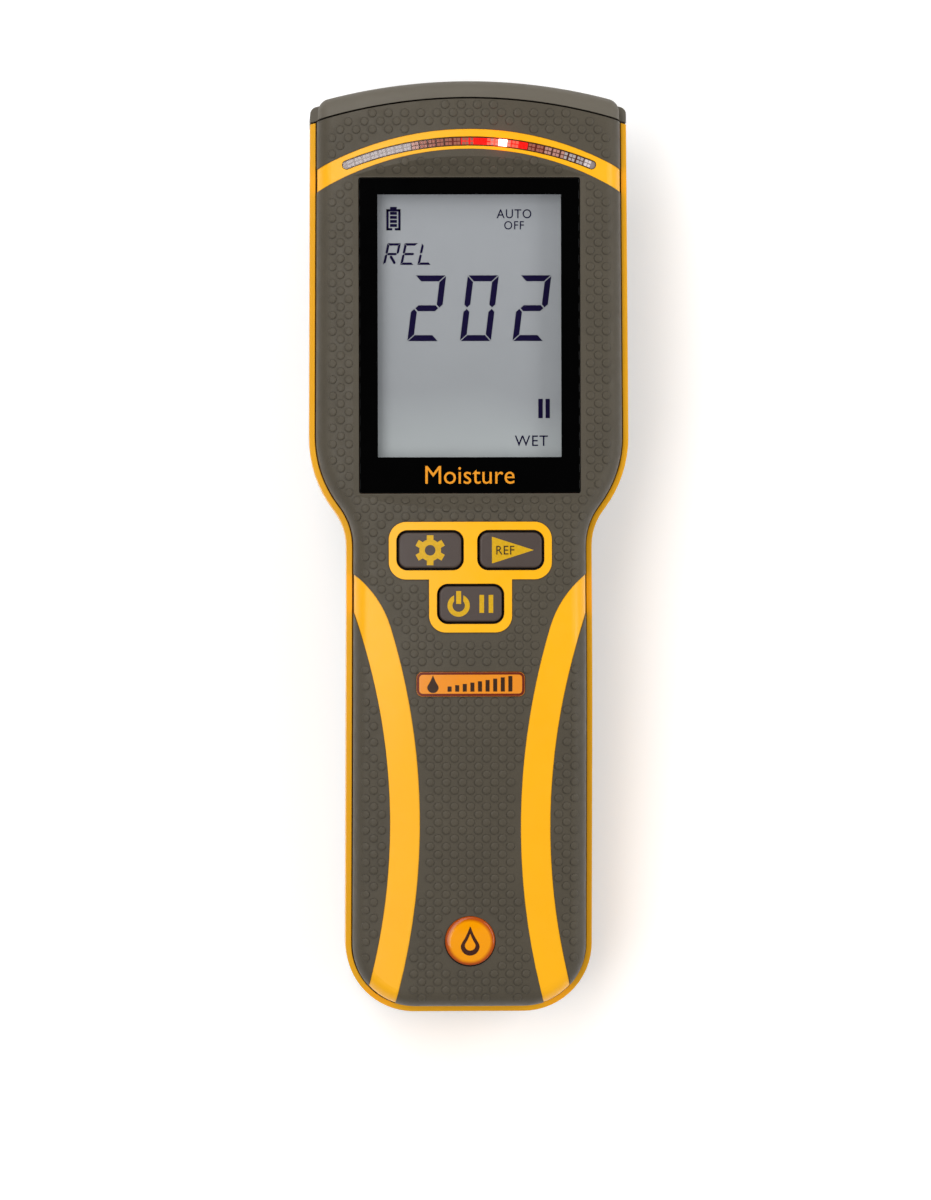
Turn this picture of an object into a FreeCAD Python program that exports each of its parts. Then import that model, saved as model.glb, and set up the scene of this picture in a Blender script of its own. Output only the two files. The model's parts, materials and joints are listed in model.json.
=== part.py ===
"""Hand-held pinless moisture meter, lying on its back with the display up.

Frame, in millimetres: +X to the right of the display, +Y towards the sensor end, +Z out of the display.
The origin is on the surface that the meter lies on, under the middle of its length and width. It rests on
the flat of the sensor nose, at the head, and on the heel of the handle, which leans down from the head.
"""
import FreeCAD
import Part

import math
import os

V = FreeCAD.Vector

# Driving dimensions of the outside
LENGTH = 203.0
HALF_HANDLE_HEEL = 27.05      # half widths of the plan outline
HALF_HANDLE_NECK = 26.7
HALF_HEAD_NECK = 34.85
HALF_HEAD_TOP = 34.4
NECK_LOW_Y = 4.9              # where the slanted neck line meets the handle and the head
NECK_HIGH_Y = 15.8
HEEL_R = 15.0                 # plan corner radii
NECK_LOW_R = 12.7
NECK_HIGH_R = 26.0
END_R = 130.0                 # radius of the curved sensor end
END_CORNER_R = 5.0
TOP_Y = LENGTH / 2
HEEL_Y = -LENGTH / 2

# Front face: crowned across, bent down along the handle
APEX_Z = 47.6
CROWN_R = 135.0
LEAN_DEG = 10.0
BEND_Y = -20.0
BEND_R = 140.0
RIM_Z = 38.8                  # top of the yellow belt round the body
BELT_UP = 8.0                 # height of the belt's lower edge over the rear face
RIM_W = 1.45                  # width of the belt's exposed edges
GROOVE = 0.25                 # gap between the belt and the front grip skin
SHOULDER_R = 4.0
SKIN = 1.2                    # thickness of the grip skin
CASE_WALL = 2.0
INSIDE = SKIN + CASE_WALL
BELT_WALL = 2.2
BELT_ROOF = 3.2
BELT_CORNER_R = END_CORNER_R - BELT_WALL
LIP = 1.5                     # depth of the skin's edge in the belt's groove
TONGUE_UP = 3.5               # height of the rear closures' tongue inside the belt
STRIPE_SINK = 0.12            # how far the yellow stripes lie under the grip skin
CORNER_MORE = 0.15            # how much larger an outline's corners are than the rounding over them
RIM_CLEAR = 0.3               # height over the rim that tells the shoulders' edges from the foot's
ROOT = 0.5                    # how far a boss, pad or island runs into the wall that it stands on
SEAL_FIT = 0.02               # gap round a seal in its groove, and round the threaded insert

# Rear face: level behind the head, then leaning with the handle down to the heel
ELBOW_Y = -5.0
ELBOW_R = 60.0
FOOT_CUT = 0.25               # depth of the flat worn onto the rounded heel, which the body rests on

# Sensor end
SEAM_TOP_Y = 97.9
SEAM_R = 120.0
SEAM_GAP = 0.35
CAP_Y = 40.0                  # the sensor housing covers the rear of the head beyond this
CAP_GAP = 0.15
CAP_WALL = 2.6
CAP_INSET = 1.65              # the cap's front stands in from the belt's line at its sides
CAP_EDGE_R = 2.8
CAP_CUT_Y = 60.0              # the cap's block starts here, well inside the seam
CAP_EAR_INSET = 0.85          # the belt's ends, beside the cap, stop short of the cap's end
CAP_EAR_R = 1.6
CAP_IN_CORNER_R = 1.2
CAP_REAR_R = 2.4
NOSE_W, NOSE_L, NOSE_Y = 48.0, 42.0, 72.5
NOSE_R = 17.0
NOSE_EDGE_R = 9.0
NOSE_WALL = 2.4
NOSE_ROOT, NOSE_HOLLOW = 1.0, 6.0   # heights over the rear face: the nose's top, its hollow's top

# Moisture sensor: a ring electrode round a centre one, on a board held by a frame in the nose's floor
ELECTRODE_T = 0.3
RING_W, RING_L, RING_R = 28.0, 22.0, 6.0
RING_BAND, RING_IN_R = 3.0, 3.5
CENTRE_W, CENTRE_L, CENTRE_R = 18.0, 12.0, 2.5
SENSOR_BOARD_W, SENSOR_BOARD_L, SENSOR_BOARD_R, SENSOR_BOARD_T = 31.0, 25.0, 8.0, 1.6
SENSOR_FRAME_BAND, SENSOR_FRAME_T = 3.0, 2.0
RIBBON_Y, RIBBON_HALF_W, RIBBON_T = 69.0, 5.0, 0.3
RIBBON_BEND_Z, RIBBON_STEP = (14.0, 22.0), 0.3

# Display
FACET_Z = 45.2                # flat platform cut into the crown for the display
FACET_Y0, FACET_Y1 = 11.7, 80.9
FACET_RISE = 2.4              # rise of the platform's sloping ends, over the runs below
FACET_RUN0, FACET_RUN1 = 3.4, 4.2
FACET_REACH = 8.0             # the slopes are carried on by this many of their runs
WINDOW_W, WINDOW_H, WINDOW_Y, WINDOW_T = 48.0, 68.5, 46.3, 1.35
WINDOW_R, WINDOW_BEVEL = 0.45, 0.25
WINDOW_FIT = 0.08             # gap between the window and the skin round it
VIEW_W, VIEW_H, VIEW_Y, VIEW_R = 42.0, 59.0, 48.4, 1.0
ROOF_Z = 41.8                 # underside of the casing round the display
LCD_W, LCD_H, LCD_T = 46.0, 63.0, 2.2
LCD_TOP = 41.4
STRIP_W = 2.4                 # elastomer strip that joins the LCD to the board, at its lower end
STRIP_HALF_L, STRIP_INSET = 20.0, 0.6
BACKLIGHT_T, BACKLIGHT_SHORT = 2.0, 1.6   # it ends short of the strip by the second
FRAME_W, FRAME_H = 49.4, 66.4
GASKET_W, GASKET_H, GASKET_PAST_VIEW = 47.0, 64.0, 1.0
FRAME_OUT_R, FRAME_IN_R, FRAME_ROOM = 1.0, 0.5, 0.2

# Light bar: an arc of lights in the stripe across the head
STRIPE_OUT_R, STRIPE_OUT_Y = 68.5, 22.5
STRIPE_IN_R, STRIPE_IN_Y = 64.3, 22.35
BAR_R, BAR_Y, BAR_W, BAR_HALF_X = 73.0, 15.35, 2.0, 26.6
BAR_CELLS = 30
BAR_BOARD_Z = 40.6
BAR_BOARD_T, BAR_BOARD_HALF_X, BAR_BOARD_IN, BAR_BOARD_OUT = 0.8, 28.0, 1.7, 2.0
BAR_FIT, BAR_FOOT = 0.1, 4.0
LAMP_L, LAMP_W, LAMP_T, LAMP_ROOM = 1.2, 1.3, 0.5, 0.2
LEAD_HALF_W, LEAD_T, LEAD_IN = 4.0, 0.2, 0.4

# Grip stripes: arcs that curve in towards the middle of the handle
GRIP_Y = -60.0
GRIP_IN_X, GRIP_IN_R = 10.95, 149.0
GRIP_OUT_X, GRIP_OUT_R = 17.5, 140.0
GRIP_BEND_Y = -17.0           # from here the inner edge turns out to the neck, to the next point
GRIP_TOP = (28.4, -3.5)
GRIP_OUT_TOP_Y = -9.0

# Keys
KEY_HOLE_W, KEY_HOLE_H, KEY_HOLE_R = 14.6, 8.74, 2.4
KEY_GAP = 0.5
KEY_RISE = 0.45
KEY_TRAVEL = 0.8
KEYS = {"settings": (-8.75, -0.35), "reference": (8.75, -0.35), "power": (0.0, -12.0)}
ISLAND_RISE = 0.3
ISLAND_BLOCKS = [(35.4, 12.5, 3.8, -0.45), (18.0, 15.4, 3.6, -10.5)]   # width, length, corner, middle
KEY_EDGE_R = 0.5
MARK_T = 0.3                  # thickness of the marks let into the keys' tops
GEAR_R, GEAR_BORE_R, GEAR_TEETH = 2.35, 1.15, 6
TOOTH_HALF_W, TOOTH_FOOT, TOOTH_TIP = 0.72, 1.8, 3.25
FLAG_BACK, FLAG_TIP, FLAG_HALF_H = 4.1, 5.0, 2.9
POWER_X, POWER_Y, POWER_OUT_R, POWER_IN_R = -2.6, -0.35, 2.42, 1.35
POWER_GAP_HALF, POWER_STEM_HALF, POWER_STEM_TOP = 1.0, 0.54, 2.8
PAUSE_X, PAUSE_SPREAD, PAUSE_HALF_W, PAUSE_HALF_H = 3.4, 1.0, 0.5, 1.95
FLANGE_W, FLANGE_H, FLANGE_T, FLANGE_R = 15.9, 10.1, 1.1, 2.6
POCKET_Z = 44.4               # roof of the pocket that the keys' flanges stop against
POCKET_HALF_W, POCKET_Y0, POCKET_Y1, POCKET_LOW = 17.0, -18.0, 5.2, 38.0
KEY_REST_GAP = 0.05           # gap over a key's flange, and between its stem and its plunger
CAP_FOOT, STEM_ROOT = 1.0, 0.5
STEM_R, STEM_ROOM = 2.4, 0.08
STEM_Z = 40.65
SWITCH_TOP, SWITCH_W, SWITCH_CORNER_R = 39.7, 6.0, 0.3
BUTTON_R, BUTTON_SINK, BUTTON_ROOM, BUTTON_END_ROOM = 1.5, 1.2, 0.06, 0.3
GUIDE_W, GUIDE_L, GUIDE_Y = 34.8, 23.4, -6.2
GUIDE_Z, GUIDE_T, GUIDE_R = 41.2, 1.0, 2.0

# Nameplate, badge and rear label
PLATE_W, PLATE_H, PLATE_Y = 23.5, 5.3, -29.4
PLATE_R = 1.3
PLATE_SINK, PLATE_RISE = 0.6, 0.35
BADGE_R, BADGE_Y, BADGE_DOME_R, BADGE_RISE = 5.5, -85.6, 38.0, 0.9
LABEL_W, LABEL_H, LABEL_Y, LABEL_T = 34.0, 22.0, 20.0, 0.4
LABEL_R = 2.0
TRIM_FIT = 0.05               # gap round the nameplate, the badge and the label

# Boards
BOARD_TOP = 36.2
BOARD_T = 1.6
BOARD_BOSSES = [(27.15, 22.0), (27.15, 68.0), (18.9, -19.5)]
BOARD_BOSS_R = 2.3
BOARD_CORNERS = [(29.2, 82.6), (29.2, 21.0), (21.5, 4.0), (21.5, -22.8)]
PILOT_R, PILOT_DEPTH = 0.9, 4.5
BOARD_HOLE_R = 1.1
POST_ROOM = 0.5               # gap round the head's posts where they pass the board
BOARD_SCREW_HEAD_R, BOARD_SCREW_R, BOARD_SCREW_HEAD_H, BOARD_SCREW_L = 1.9, 0.87, 1.2, 4.0
CPU_W, CPU_T, CPU_Y, CPU_CORNER_R = 10.0, 1.4, 38.0, 0.4
BUZZER_R, BUZZER_T, BUZZER_X, BUZZER_Y = 6.0, 4.5, 9.0, 6.0
BUZZER_HOLE_R, BUZZER_HOLE_DEPTH = 1.0, 1.0
CHIP_CORNER_R = 0.2
CHIPS = [  # centre x, y, then width, length and height of the small parts under the board
    (-14.0, 42.0, 5.0, 4.0, 1.4), (13.0, 46.0, 7.0, 5.0, 1.6), (-12.0, 24.0, 4.0, 6.0, 2.2),
    (14.0, 26.0, 6.0, 6.0, 3.0), (0.0, 56.0, 6.0, 4.0, 1.2), (-16.0, 8.0, 3.2, 1.6, 1.0),
    (-11.0, 8.0, 3.2, 1.6, 1.0), (-16.0, 3.0, 3.2, 1.6, 1.0), (-11.0, 3.0, 3.2, 1.6, 1.0),
    (0.0, -17.0, 8.0, 5.0, 5.0), (0.0, 69.5, 14.0, 4.0, 2.4),
]

# Battery bay and door, in the handle's leaning frame
CELL_R, CELL_L, CELL_X, CELL_EDGE_R, CELL_ROOM = 7.25, 50.5, 7.6, 0.5, 0.4
NUB_R, NUB_L = 2.7, 1.2
BAY_HALF_W, BAY_Y0, BAY_Y1 = 15.2, -79.1, -21.7
PAD_Z = 4.2
DOOR_HALF_W, DOOR_Y1, DOOR_T, DOOR_CORNER_R = 17.0, -13.2, 2.4, 2.0
DOOR_GAP = 0.15
HINGE_Y, HINGE_Z, HINGE_R, PIN_R, PIN_L = -83.0, 2.2, 2.2, 0.8, 1.3
PIN_ROOM, PIN_END_ROOM = 0.06, 0.3
DOOR_SCREW_Y = -17.2
CELL_Z = DOOR_T + CELL_R + 0.7  # the cells clear the closed door by 0.7
TRAY_WALL = 1.2
CONTACT_T, CONTACT_HALF, CONTACT_HALF_W = 0.4, 5.5, 5.0
BRIDGE_HALF_W = 13.0
WIRE_R, COIL_R, COIL_TURNS = 0.35, 2.9, 4
BATTERY_LEAD_X, BATTERY_LEAD_R, BATTERY_LEAD_END_Y = 3.0, 0.6, -21.0
LEAD_GAP, LEAD_DROP, LEAD_RUN, LEAD_CLIMB = 0.3, 1.5, 4.0, 1.0
BEND_SHARE = 0.45             # share of its shorter run that a lead's bend takes
GASKET_BAND, GASKET_T, GASKET_GAP = 0.9, 0.6, 0.35
GASKET_RING_OUT_R, GASKET_RING_IN_R = 1.6, 0.7
PAD_HALF_W, PAD_Y0, PAD_PAST_DOOR = 18.6, -86.6, 2.0
INSERT_R, INSERT_TOP, INSERT_LIFT, INSERT_BOSS_TOP = 2.2, 6.0, 0.1, 7.0
DOOR_SCREW_HEAD_R, DOOR_SCREW_SEAT, DOOR_SCREW_HEAD_H, DOOR_SCREW_END = 2.3, 1.25, 1.05, 5.0
RETAINER_R, RETAINER_Z0, RETAINER_Z1 = 2.1, 1.8, 2.35
RETAINER_FIT, RETAINER_UNDER = 0.01, 0.05

# Casing screws
HANDLE_SCREWS = [(20.6, -24.0), (20.6, -74.0)]
HEAD_SCREW = (27.8, 44.5)
BOSS_R = 3.0
SCREW_HEAD_R, SCREW_R = 2.2, 1.25
SCREW_SEAT, PILLAR_TOP, SCREW_END = 4.3, 6.0, 14.0
SCREW_HEAD_H = 1.5
SCREW_ROOM = 0.2              # gap round a screw's head
THREAD_FIT = 0.03             # gaps round a shank: in its pilot hole, in a pillar, the door, the insert
SHANK_ROOM, DOOR_SHANK_ROOM, INSERT_ROOM = 0.15, 0.1, 0.25
CROSS_REACH, CROSS_HALF_W, CROSS_FLOOR = 0.62, 0.14, 0.45   # recess, as shares of a head's radius, height

# Cord seal between the tongue and the belt
SEAL_W, SEAL_T, SEAL_UP = 0.95, 1.0, 1.2
SEAL_OUT_CORNER_R, SEAL_IN_CORNER_R = 2.6, 1.8
SEAL_END_Y = 90.0

BIG = 60.0                    # beyond every side and above the front
CUT_LOW = 30.0                # cuts from the front start here, well under it
DEEP = -20.0                  # below the rear
LEAN = math.radians(LEAN_DEG)

ELBOW_END_Y = ELBOW_Y - ELBOW_R * math.sin(LEAN)
# Height of the rear face behind the head, so that the rounded heel just touches z = 0
REAR_Z = (
    ELBOW_R * (1 - math.cos(LEAN))
    + (ELBOW_END_Y - HEEL_Y - RIM_W - SHOULDER_R) * math.tan(LEAN)
    - SHOULDER_R * (1 / math.cos(LEAN) - 1)
    - FOOT_CUT
)


# ---- plan outlines ----

def meet(p, d, q, e):
    """Where the line through p along d meets the line through q along e."""
    s = ((q.x - p.x) * e.y - (q.y - p.y) * e.x) / (d.x * e.y - d.y * e.x)
    return p + d * s


def corner(before, at, after, radius):
    """Tangent points and middle of the arc that rounds the corner at a point between two others."""
    a = (before - at).normalize()
    b = (after - at).normalize()
    half = a.getAngle(b) / 2
    reach = radius / math.tan(half)
    middle_dir = (a + b).normalize()
    centre = at + middle_dir * (radius / math.sin(half))
    return at + a * reach, centre - middle_dir * radius, at + b * reach


def outline(inset=0.0, end_inset=None, end_corner=END_CORNER_R):
    """Closed plan wire of the body, moved inwards by inset, and by end_inset at the curved sensor end."""
    end_inset = inset if end_inset is None else end_inset
    base = [
        V(HALF_HANDLE_HEEL, HEEL_Y, 0),
        V(HALF_HANDLE_NECK, NECK_LOW_Y, 0),
        V(HALF_HEAD_NECK, NECK_HIGH_Y, 0),
        V(HALF_HEAD_TOP, TOP_Y, 0),
    ]
    sides = []
    for a, b in zip(base, base[1:]):
        d = (b - a).normalize()
        sides.append((a + V(-d.y, d.x, 0) * inset, d))
    heel = meet(V(0, HEEL_Y + inset, 0), V(1, 0, 0), *sides[0])
    low = meet(*sides[0], *sides[1])
    high = meet(*sides[1], *sides[2])
    q, d = sides[2]
    # centre of the end corner: inside the side line, and inside the end circle
    end_r = END_R - end_inset
    circle = V(0, TOP_Y - END_R, 0)
    near = q + V(-d.y, d.x, 0) * end_corner
    along = (circle - near).dot(d)
    foot = near + d * along
    c = foot + d * math.sqrt((end_r - end_corner) ** 2 - (foot - circle).Length ** 2)
    side_touch = c + V(d.y, -d.x, 0) * end_corner
    end_touch = circle + (c - circle).normalize() * end_r
    mid_dir = ((side_touch - c).normalize() + (end_touch - c).normalize()).normalize()
    end_mid = c + mid_dir * end_corner

    h1, h2, h3 = corner(V(0, heel.y, 0), heel, low, HEEL_R - inset)
    n1, n2, n3 = corner(heel, low, high, NECK_LOW_R + inset)
    m1, m2, m3 = corner(low, high, side_touch, NECK_HIGH_R - inset)
    right = [
        Part.Arc(h1, h2, h3), Part.LineSegment(h3, n1), Part.Arc(n1, n2, n3), Part.LineSegment(n3, m1),
        Part.Arc(m1, m2, m3), Part.LineSegment(m3, side_touch), Part.Arc(side_touch, end_mid, end_touch),
    ]
    edges = [g.toShape() for g in right]
    mirrored = [e.mirror(V(0, 0, 0), V(1, 0, 0)) for e in edges]
    left = V(-end_touch.x, end_touch.y, 0)
    edges.append(Part.Arc(end_touch, circle + V(0, end_r, 0), left).toShape())
    edges.append(Part.LineSegment(V(-h1.x, h1.y, 0), h1).toShape())
    return Part.Wire(Part.__sortEdges__(edges + mirrored))


def prism(wire, z0, z1):
    face = Part.Face(wire)
    face.translate(V(0, 0, z0))
    return face.extrude(V(0, 0, z1 - z0))


def rounded_wire(w, h, r, x=0.0, y=0.0):
    """Rectangle wire with rounded corners, centred on (x, y)."""
    a, b = w / 2 - r, h / 2 - r
    s = r * math.sqrt(0.5)
    edges = []
    for i, (cx, cy) in enumerate([(a, b), (-a, b), (-a, -b), (a, -b)]):
        t = math.radians(90 * i)
        c = V(x + cx, y + cy, 0)
        p0 = c + V(r * math.cos(t), r * math.sin(t), 0)
        m = c + V(r * math.cos(t + math.pi / 4), r * math.sin(t + math.pi / 4), 0)
        p1 = c + V(-r * math.sin(t), r * math.cos(t), 0)
        edges.append(Part.Arc(p0, m, p1).toShape())
    joined = []
    for i, e in enumerate(edges):
        joined.append(e)
        a0 = e.Vertexes[-1].Point
        b0 = edges[(i + 1) % 4].Vertexes[0].Point
        if (a0 - b0).Length > 1e-6:
            joined.append(Part.LineSegment(a0, b0).toShape())
    return Part.Wire(Part.__sortEdges__(joined))


def rounded_block(w, h, r, z0, z1, x=0.0, y=0.0):
    return prism(rounded_wire(w, h, r, x, y), z0, z1)


def box(x0, x1, y0, y1, z0, z1):
    return Part.makeBox(x1 - x0, y1 - y0, z1 - z0, V(x0, y0, z0))


def cylinder(r, x, y, z0, z1):
    return Part.makeCylinder(r, z1 - z0, V(x, y, z0))


# ---- layers parallel to the front and rear faces ----

def below_front(depth, crowned=True):
    """Everything below the front face moved inwards by depth. Not crowned, it is level from side to side."""
    top = APEX_Z - depth
    lo, far = -20.0, 110.0
    if crowned:
        r = CROWN_R - depth
        side = top - r + math.sqrt(r * r - BIG * BIG)
        cap = Part.Arc(V(-BIG, far, side), V(0, far, top), V(BIG, far, side)).toShape()
    else:
        side = top
        cap = Part.LineSegment(V(-BIG, far, side), V(BIG, far, side)).toShape()
    rest = Part.makePolygon([V(BIG, far, side), V(BIG, far, lo), V(-BIG, far, lo), V(-BIG, far, side)])
    face = Part.Face(Part.Wire([cap] + rest.Edges))
    head = face.extrude(V(0, BEND_Y - far, 0))
    face.translate(V(0, BEND_Y - far, 0))
    pivot = V(0, BEND_Y, APEX_Z - BEND_R)
    bend = face.revolve(pivot, V(1, 0, 0), LEAN_DEG)
    face.rotate(pivot, V(1, 0, 0), LEAN_DEG)
    handle = face.extrude(V(0, -math.cos(LEAN), -math.sin(LEAN)) * 100)
    return head.fuse([bend, handle]).removeSplitter()


def above_rear(depth):
    """Everything above the rear face moved inwards by depth."""
    r = ELBOW_R + depth
    c = V(0, ELBOW_Y, REAR_Z - ELBOW_R)
    start = c + V(0, 0, r)
    mid = c + V(0, -math.sin(LEAN / 2), math.cos(LEAN / 2)) * r
    end = c + V(0, -math.sin(LEAN), math.cos(LEAN)) * r
    tail = end + V(0, -math.cos(LEAN), -math.sin(LEAN)) * 120
    far, high = 110.0, 80.0
    line = [V(0, tail.y, high), V(0, far, high), V(0, far, start.z), start]
    edges = Part.makePolygon([end, tail] + line).Edges
    edges.append(Part.Arc(start, mid, end).toShape())
    face = Part.Face(Part.Wire(Part.__sortEdges__(edges)))
    face.translate(V(-BIG, 0, 0))
    return face.extrude(V(2 * BIG, 0, 0))


def leaning(shape):
    """Moves a shape from the handle's frame, where z = 0 is the rear face, into place."""
    s = shape.copy()
    pivot = V(0, ELBOW_Y - ELBOW_R * math.tan(LEAN / 2), REAR_Z)
    s.Placement = FreeCAD.Placement(pivot, FreeCAD.Rotation(V(1, 0, 0), LEAN_DEG)).multiply(s.Placement)
    return s


def rim_edges(shape, wire, test):
    """Edges of a prism that lie over its plan wire and aren't upright, and pass a test on their middle."""
    found = []
    for e in shape.Edges:
        a, b = e.ParameterRange
        m = e.valueAt((a + b) / 2)
        p, q = e.valueAt(a), e.valueAt(b)
        if (V(p.x - q.x, p.y - q.y, 0)).Length < 1e-4:
            continue
        if Part.Vertex(V(m.x, m.y, 0)).distToShape(wire)[0] < 1e-3 and test(m):
            found.append(e)
    return found


def front_drop(y):
    """How far the front face has dropped at y along the handle."""
    end = BEND_Y - BEND_R * math.sin(LEAN)
    if y >= BEND_Y:
        return 0.0
    if y >= end:
        return BEND_R - math.sqrt(BEND_R ** 2 - (BEND_Y - y) ** 2)
    return BEND_R * (1 - math.cos(LEAN)) + (end - y) * math.tan(LEAN)


def above_rim(m):
    return m.z > RIM_Z - front_drop(m.y) + RIM_CLEAR


def below_rim(drop=0.0):
    """Everything below the belt's upper edge, level from side to side."""
    return below_front(APEX_Z - RIM_Z + drop, False)


def panel(inset, fillet, foot=LIP):
    """The raised front with rounded shoulders, moved inwards by inset, from foot below the rim upwards."""
    wire = outline(RIM_W + inset, inset, fillet + CORNER_MORE)
    raw = prism(wire, 0, BIG).common(below_front(inset)).cut(below_rim(foot))
    return raw.makeFillet(fillet, rim_edges(raw, wire, above_rim))


def back(inset, fillet, up=0.0):
    """The rear with rounded shoulders, moved inwards by inset, up to a height over the belt's lower edge."""
    wire = outline(RIM_W + inset, inset, fillet + CORNER_MORE)
    raw = prism(wire, DEEP, BIG).common(above_rear(inset)).cut(above_rear(BELT_UP + up))
    low = above_rear(BELT_UP - 2.0)
    edges = rim_edges(raw, wire, lambda m: not low.isInside(m, 1e-6, True))
    return raw.makeFillet(fillet, edges)


# ---- plan regions on the front ----

def seam_disc(gap):
    """The plan area on the handle's side of the seam with the sensor housing."""
    return cylinder(SEAM_R - gap, 0, SEAM_TOP_Y - SEAM_R, DEEP, BIG)


def ring_sector(cy, r0, r1, half_x, z0, z1):
    """Arc strip across the head, between two radii about a point on the centre line."""
    ring = cylinder(r1, 0, cy, z0, z1).cut(cylinder(r0, 0, cy, z0, z1))
    return ring.common(box(-half_x, half_x, cy, cy + r1 + 1, z0, z1))


def head_stripe():
    outer = cylinder(STRIPE_OUT_R, 0, STRIPE_OUT_Y, CUT_LOW, BIG)
    inner = cylinder(STRIPE_IN_R, 0, STRIPE_IN_Y, CUT_LOW, BIG)
    return outer.cut(inner).common(box(-BIG, BIG, CAP_CUT_Y, TOP_Y, CUT_LOW, BIG))


def bar_strip(width, half_x, z0, z1):
    """Arc strip with rounded ends for the light bar's lens."""
    strip = ring_sector(BAR_Y, BAR_R - width / 2, BAR_R + width / 2, half_x, z0, z1)
    end_y = BAR_Y + math.sqrt(BAR_R ** 2 - half_x ** 2)
    ends = [cylinder(width / 2, side * half_x, end_y, z0, z1) for side in (-1, 1)]
    return strip.fuse(ends).removeSplitter()


def grip_x(x, r, y):
    return x + r - math.sqrt(r * r - (y - GRIP_Y) ** 2)


def tangent_arc(start, along, end):
    """Arc that leaves start along a direction and ends at end."""
    chord = end - start
    half_turn = along.getAngle(chord)
    rise = chord.Length / 2 * math.tan(half_turn / 2)
    square = V(-chord.y, chord.x, 0).normalize()
    side = 1 if along.dot(square) > 0 else -1
    return Part.Arc(start, start + chord / 2 + square * (side * rise), end).toShape()


def grip_stripes():
    """The two yellow stripes, from the neck to the heel."""
    low = HEEL_Y - 3
    ins = [V(grip_x(GRIP_IN_X, GRIP_IN_R, y), y, 0) for y in (low, GRIP_Y, GRIP_BEND_Y)]
    outs = [V(grip_x(GRIP_OUT_X, GRIP_OUT_R, y), y, 0) for y in (GRIP_OUT_TOP_Y, GRIP_Y, low)]
    top = V(*GRIP_TOP, 0)
    rise = GRIP_BEND_Y - GRIP_Y
    along = V(rise, math.sqrt(GRIP_IN_R ** 2 - rise ** 2), 0)
    edges = [
        Part.Arc(*ins).toShape(),
        tangent_arc(ins[-1], along, top),
        Part.LineSegment(top, outs[0]).toShape(),
        Part.Arc(*outs).toShape(),
        Part.LineSegment(outs[-1], ins[0]).toShape(),
    ]
    right = prism(Part.Wire(edges), 0, BIG)
    return right.fuse(right.mirror(V(0, 0, 0), V(1, 0, 0)))


def key_island():
    upper, lower = [rounded_block(w, h, r, CUT_LOW, BIG, 0, y) for w, h, r, y in ISLAND_BLOCKS]
    return upper.fuse(lower).removeSplitter()


def key_holes(grow=0.0):
    w, h, r = KEY_HOLE_W + 2 * grow, KEY_HOLE_H + 2 * grow, KEY_HOLE_R + grow
    return [rounded_block(w, h, r, CUT_LOW, BIG, x, y) for x, y in KEYS.values()]


def facet(depth):
    """Everything above the display's platform and its sloping ends, moved inwards by depth."""
    z = FACET_Z - depth
    pts = [
        V(-BIG, FACET_Y0, z), V(-BIG, FACET_Y1, z),
        V(-BIG, FACET_Y1 + FACET_REACH * FACET_RUN1, z + FACET_REACH * FACET_RISE),
        V(-BIG, FACET_Y0 - FACET_REACH * FACET_RUN0, z + FACET_REACH * FACET_RISE),
        V(-BIG, FACET_Y0, z),
    ]
    return Part.Face(Part.makePolygon(pts)).extrude(V(2 * BIG, 0, 0))


def layer(lo, hi):
    """The layer between two depths under the front face."""
    return below_front(lo).cut(below_front(hi))


def upright_screw(seat, end, head_r, shank_r, head_h):
    """Pan screw pointing up, with its head's underside at seat, and a cross recess in the head."""
    screw = cylinder(head_r, 0, 0, seat - head_h, seat)
    screw = screw.fuse(cylinder(shank_r, 0, 0, seat, end))
    arm, half = head_r * CROSS_REACH, head_r * CROSS_HALF_W
    low, floor = seat - head_h - 1, seat - head_h * CROSS_FLOOR
    cross = box(-arm, arm, -half, half, low, floor)
    other = box(-half, half, -arm, arm, low, floor)
    return screw.cut([cross, other]).removeSplitter()


def screw_places():
    """Each casing screw's place: a function that moves a shape made at the origin, on the rear face."""
    places = []
    for x, y in HANDLE_SCREWS:
        for side in (-1, 1):
            places.append(lambda s, x=side * x, y=y: leaning(s.translated(V(x, y, 0))))
    for side in (-1, 1):
        places.append(lambda s, x=side * HEAD_SCREW[0]: s.translated(V(x, HEAD_SCREW[1], REAR_Z)))
    return places


def board_places():
    """Plan places of the board's screws, on both sides."""
    return [(side * x, y) for x, y in BOARD_BOSSES for side in (-1, 1)]


# ---- casings and skins ----

def belt():
    solid = prism(outline(), DEEP, BIG).common(below_rim())
    return solid.common(above_rear(BELT_UP))


def inner_space():
    """The hollow inside the front casing."""
    low = prism(outline(BELT_WALL, BELT_WALL, BELT_CORNER_R), DEEP, BIG)
    low = low.common(below_rim(BELT_ROOF)).common(above_rear(BELT_UP - 3))
    high = panel(INSIDE, SHOULDER_R - INSIDE, BELT_ROOF + RIM_CLEAR).cut(facet(FACET_Z - ROOF_Z))
    return low.fuse(high)


def tongue_space():
    """The room that the rear closures' tongue takes inside the belt."""
    ring = prism(outline(), DEEP, BIG).cut(prism(outline(RIM_W + INSIDE + 0.1), DEEP, BIG))
    return ring.cut(above_rear(BELT_UP + TONGUE_UP + 0.1))


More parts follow.
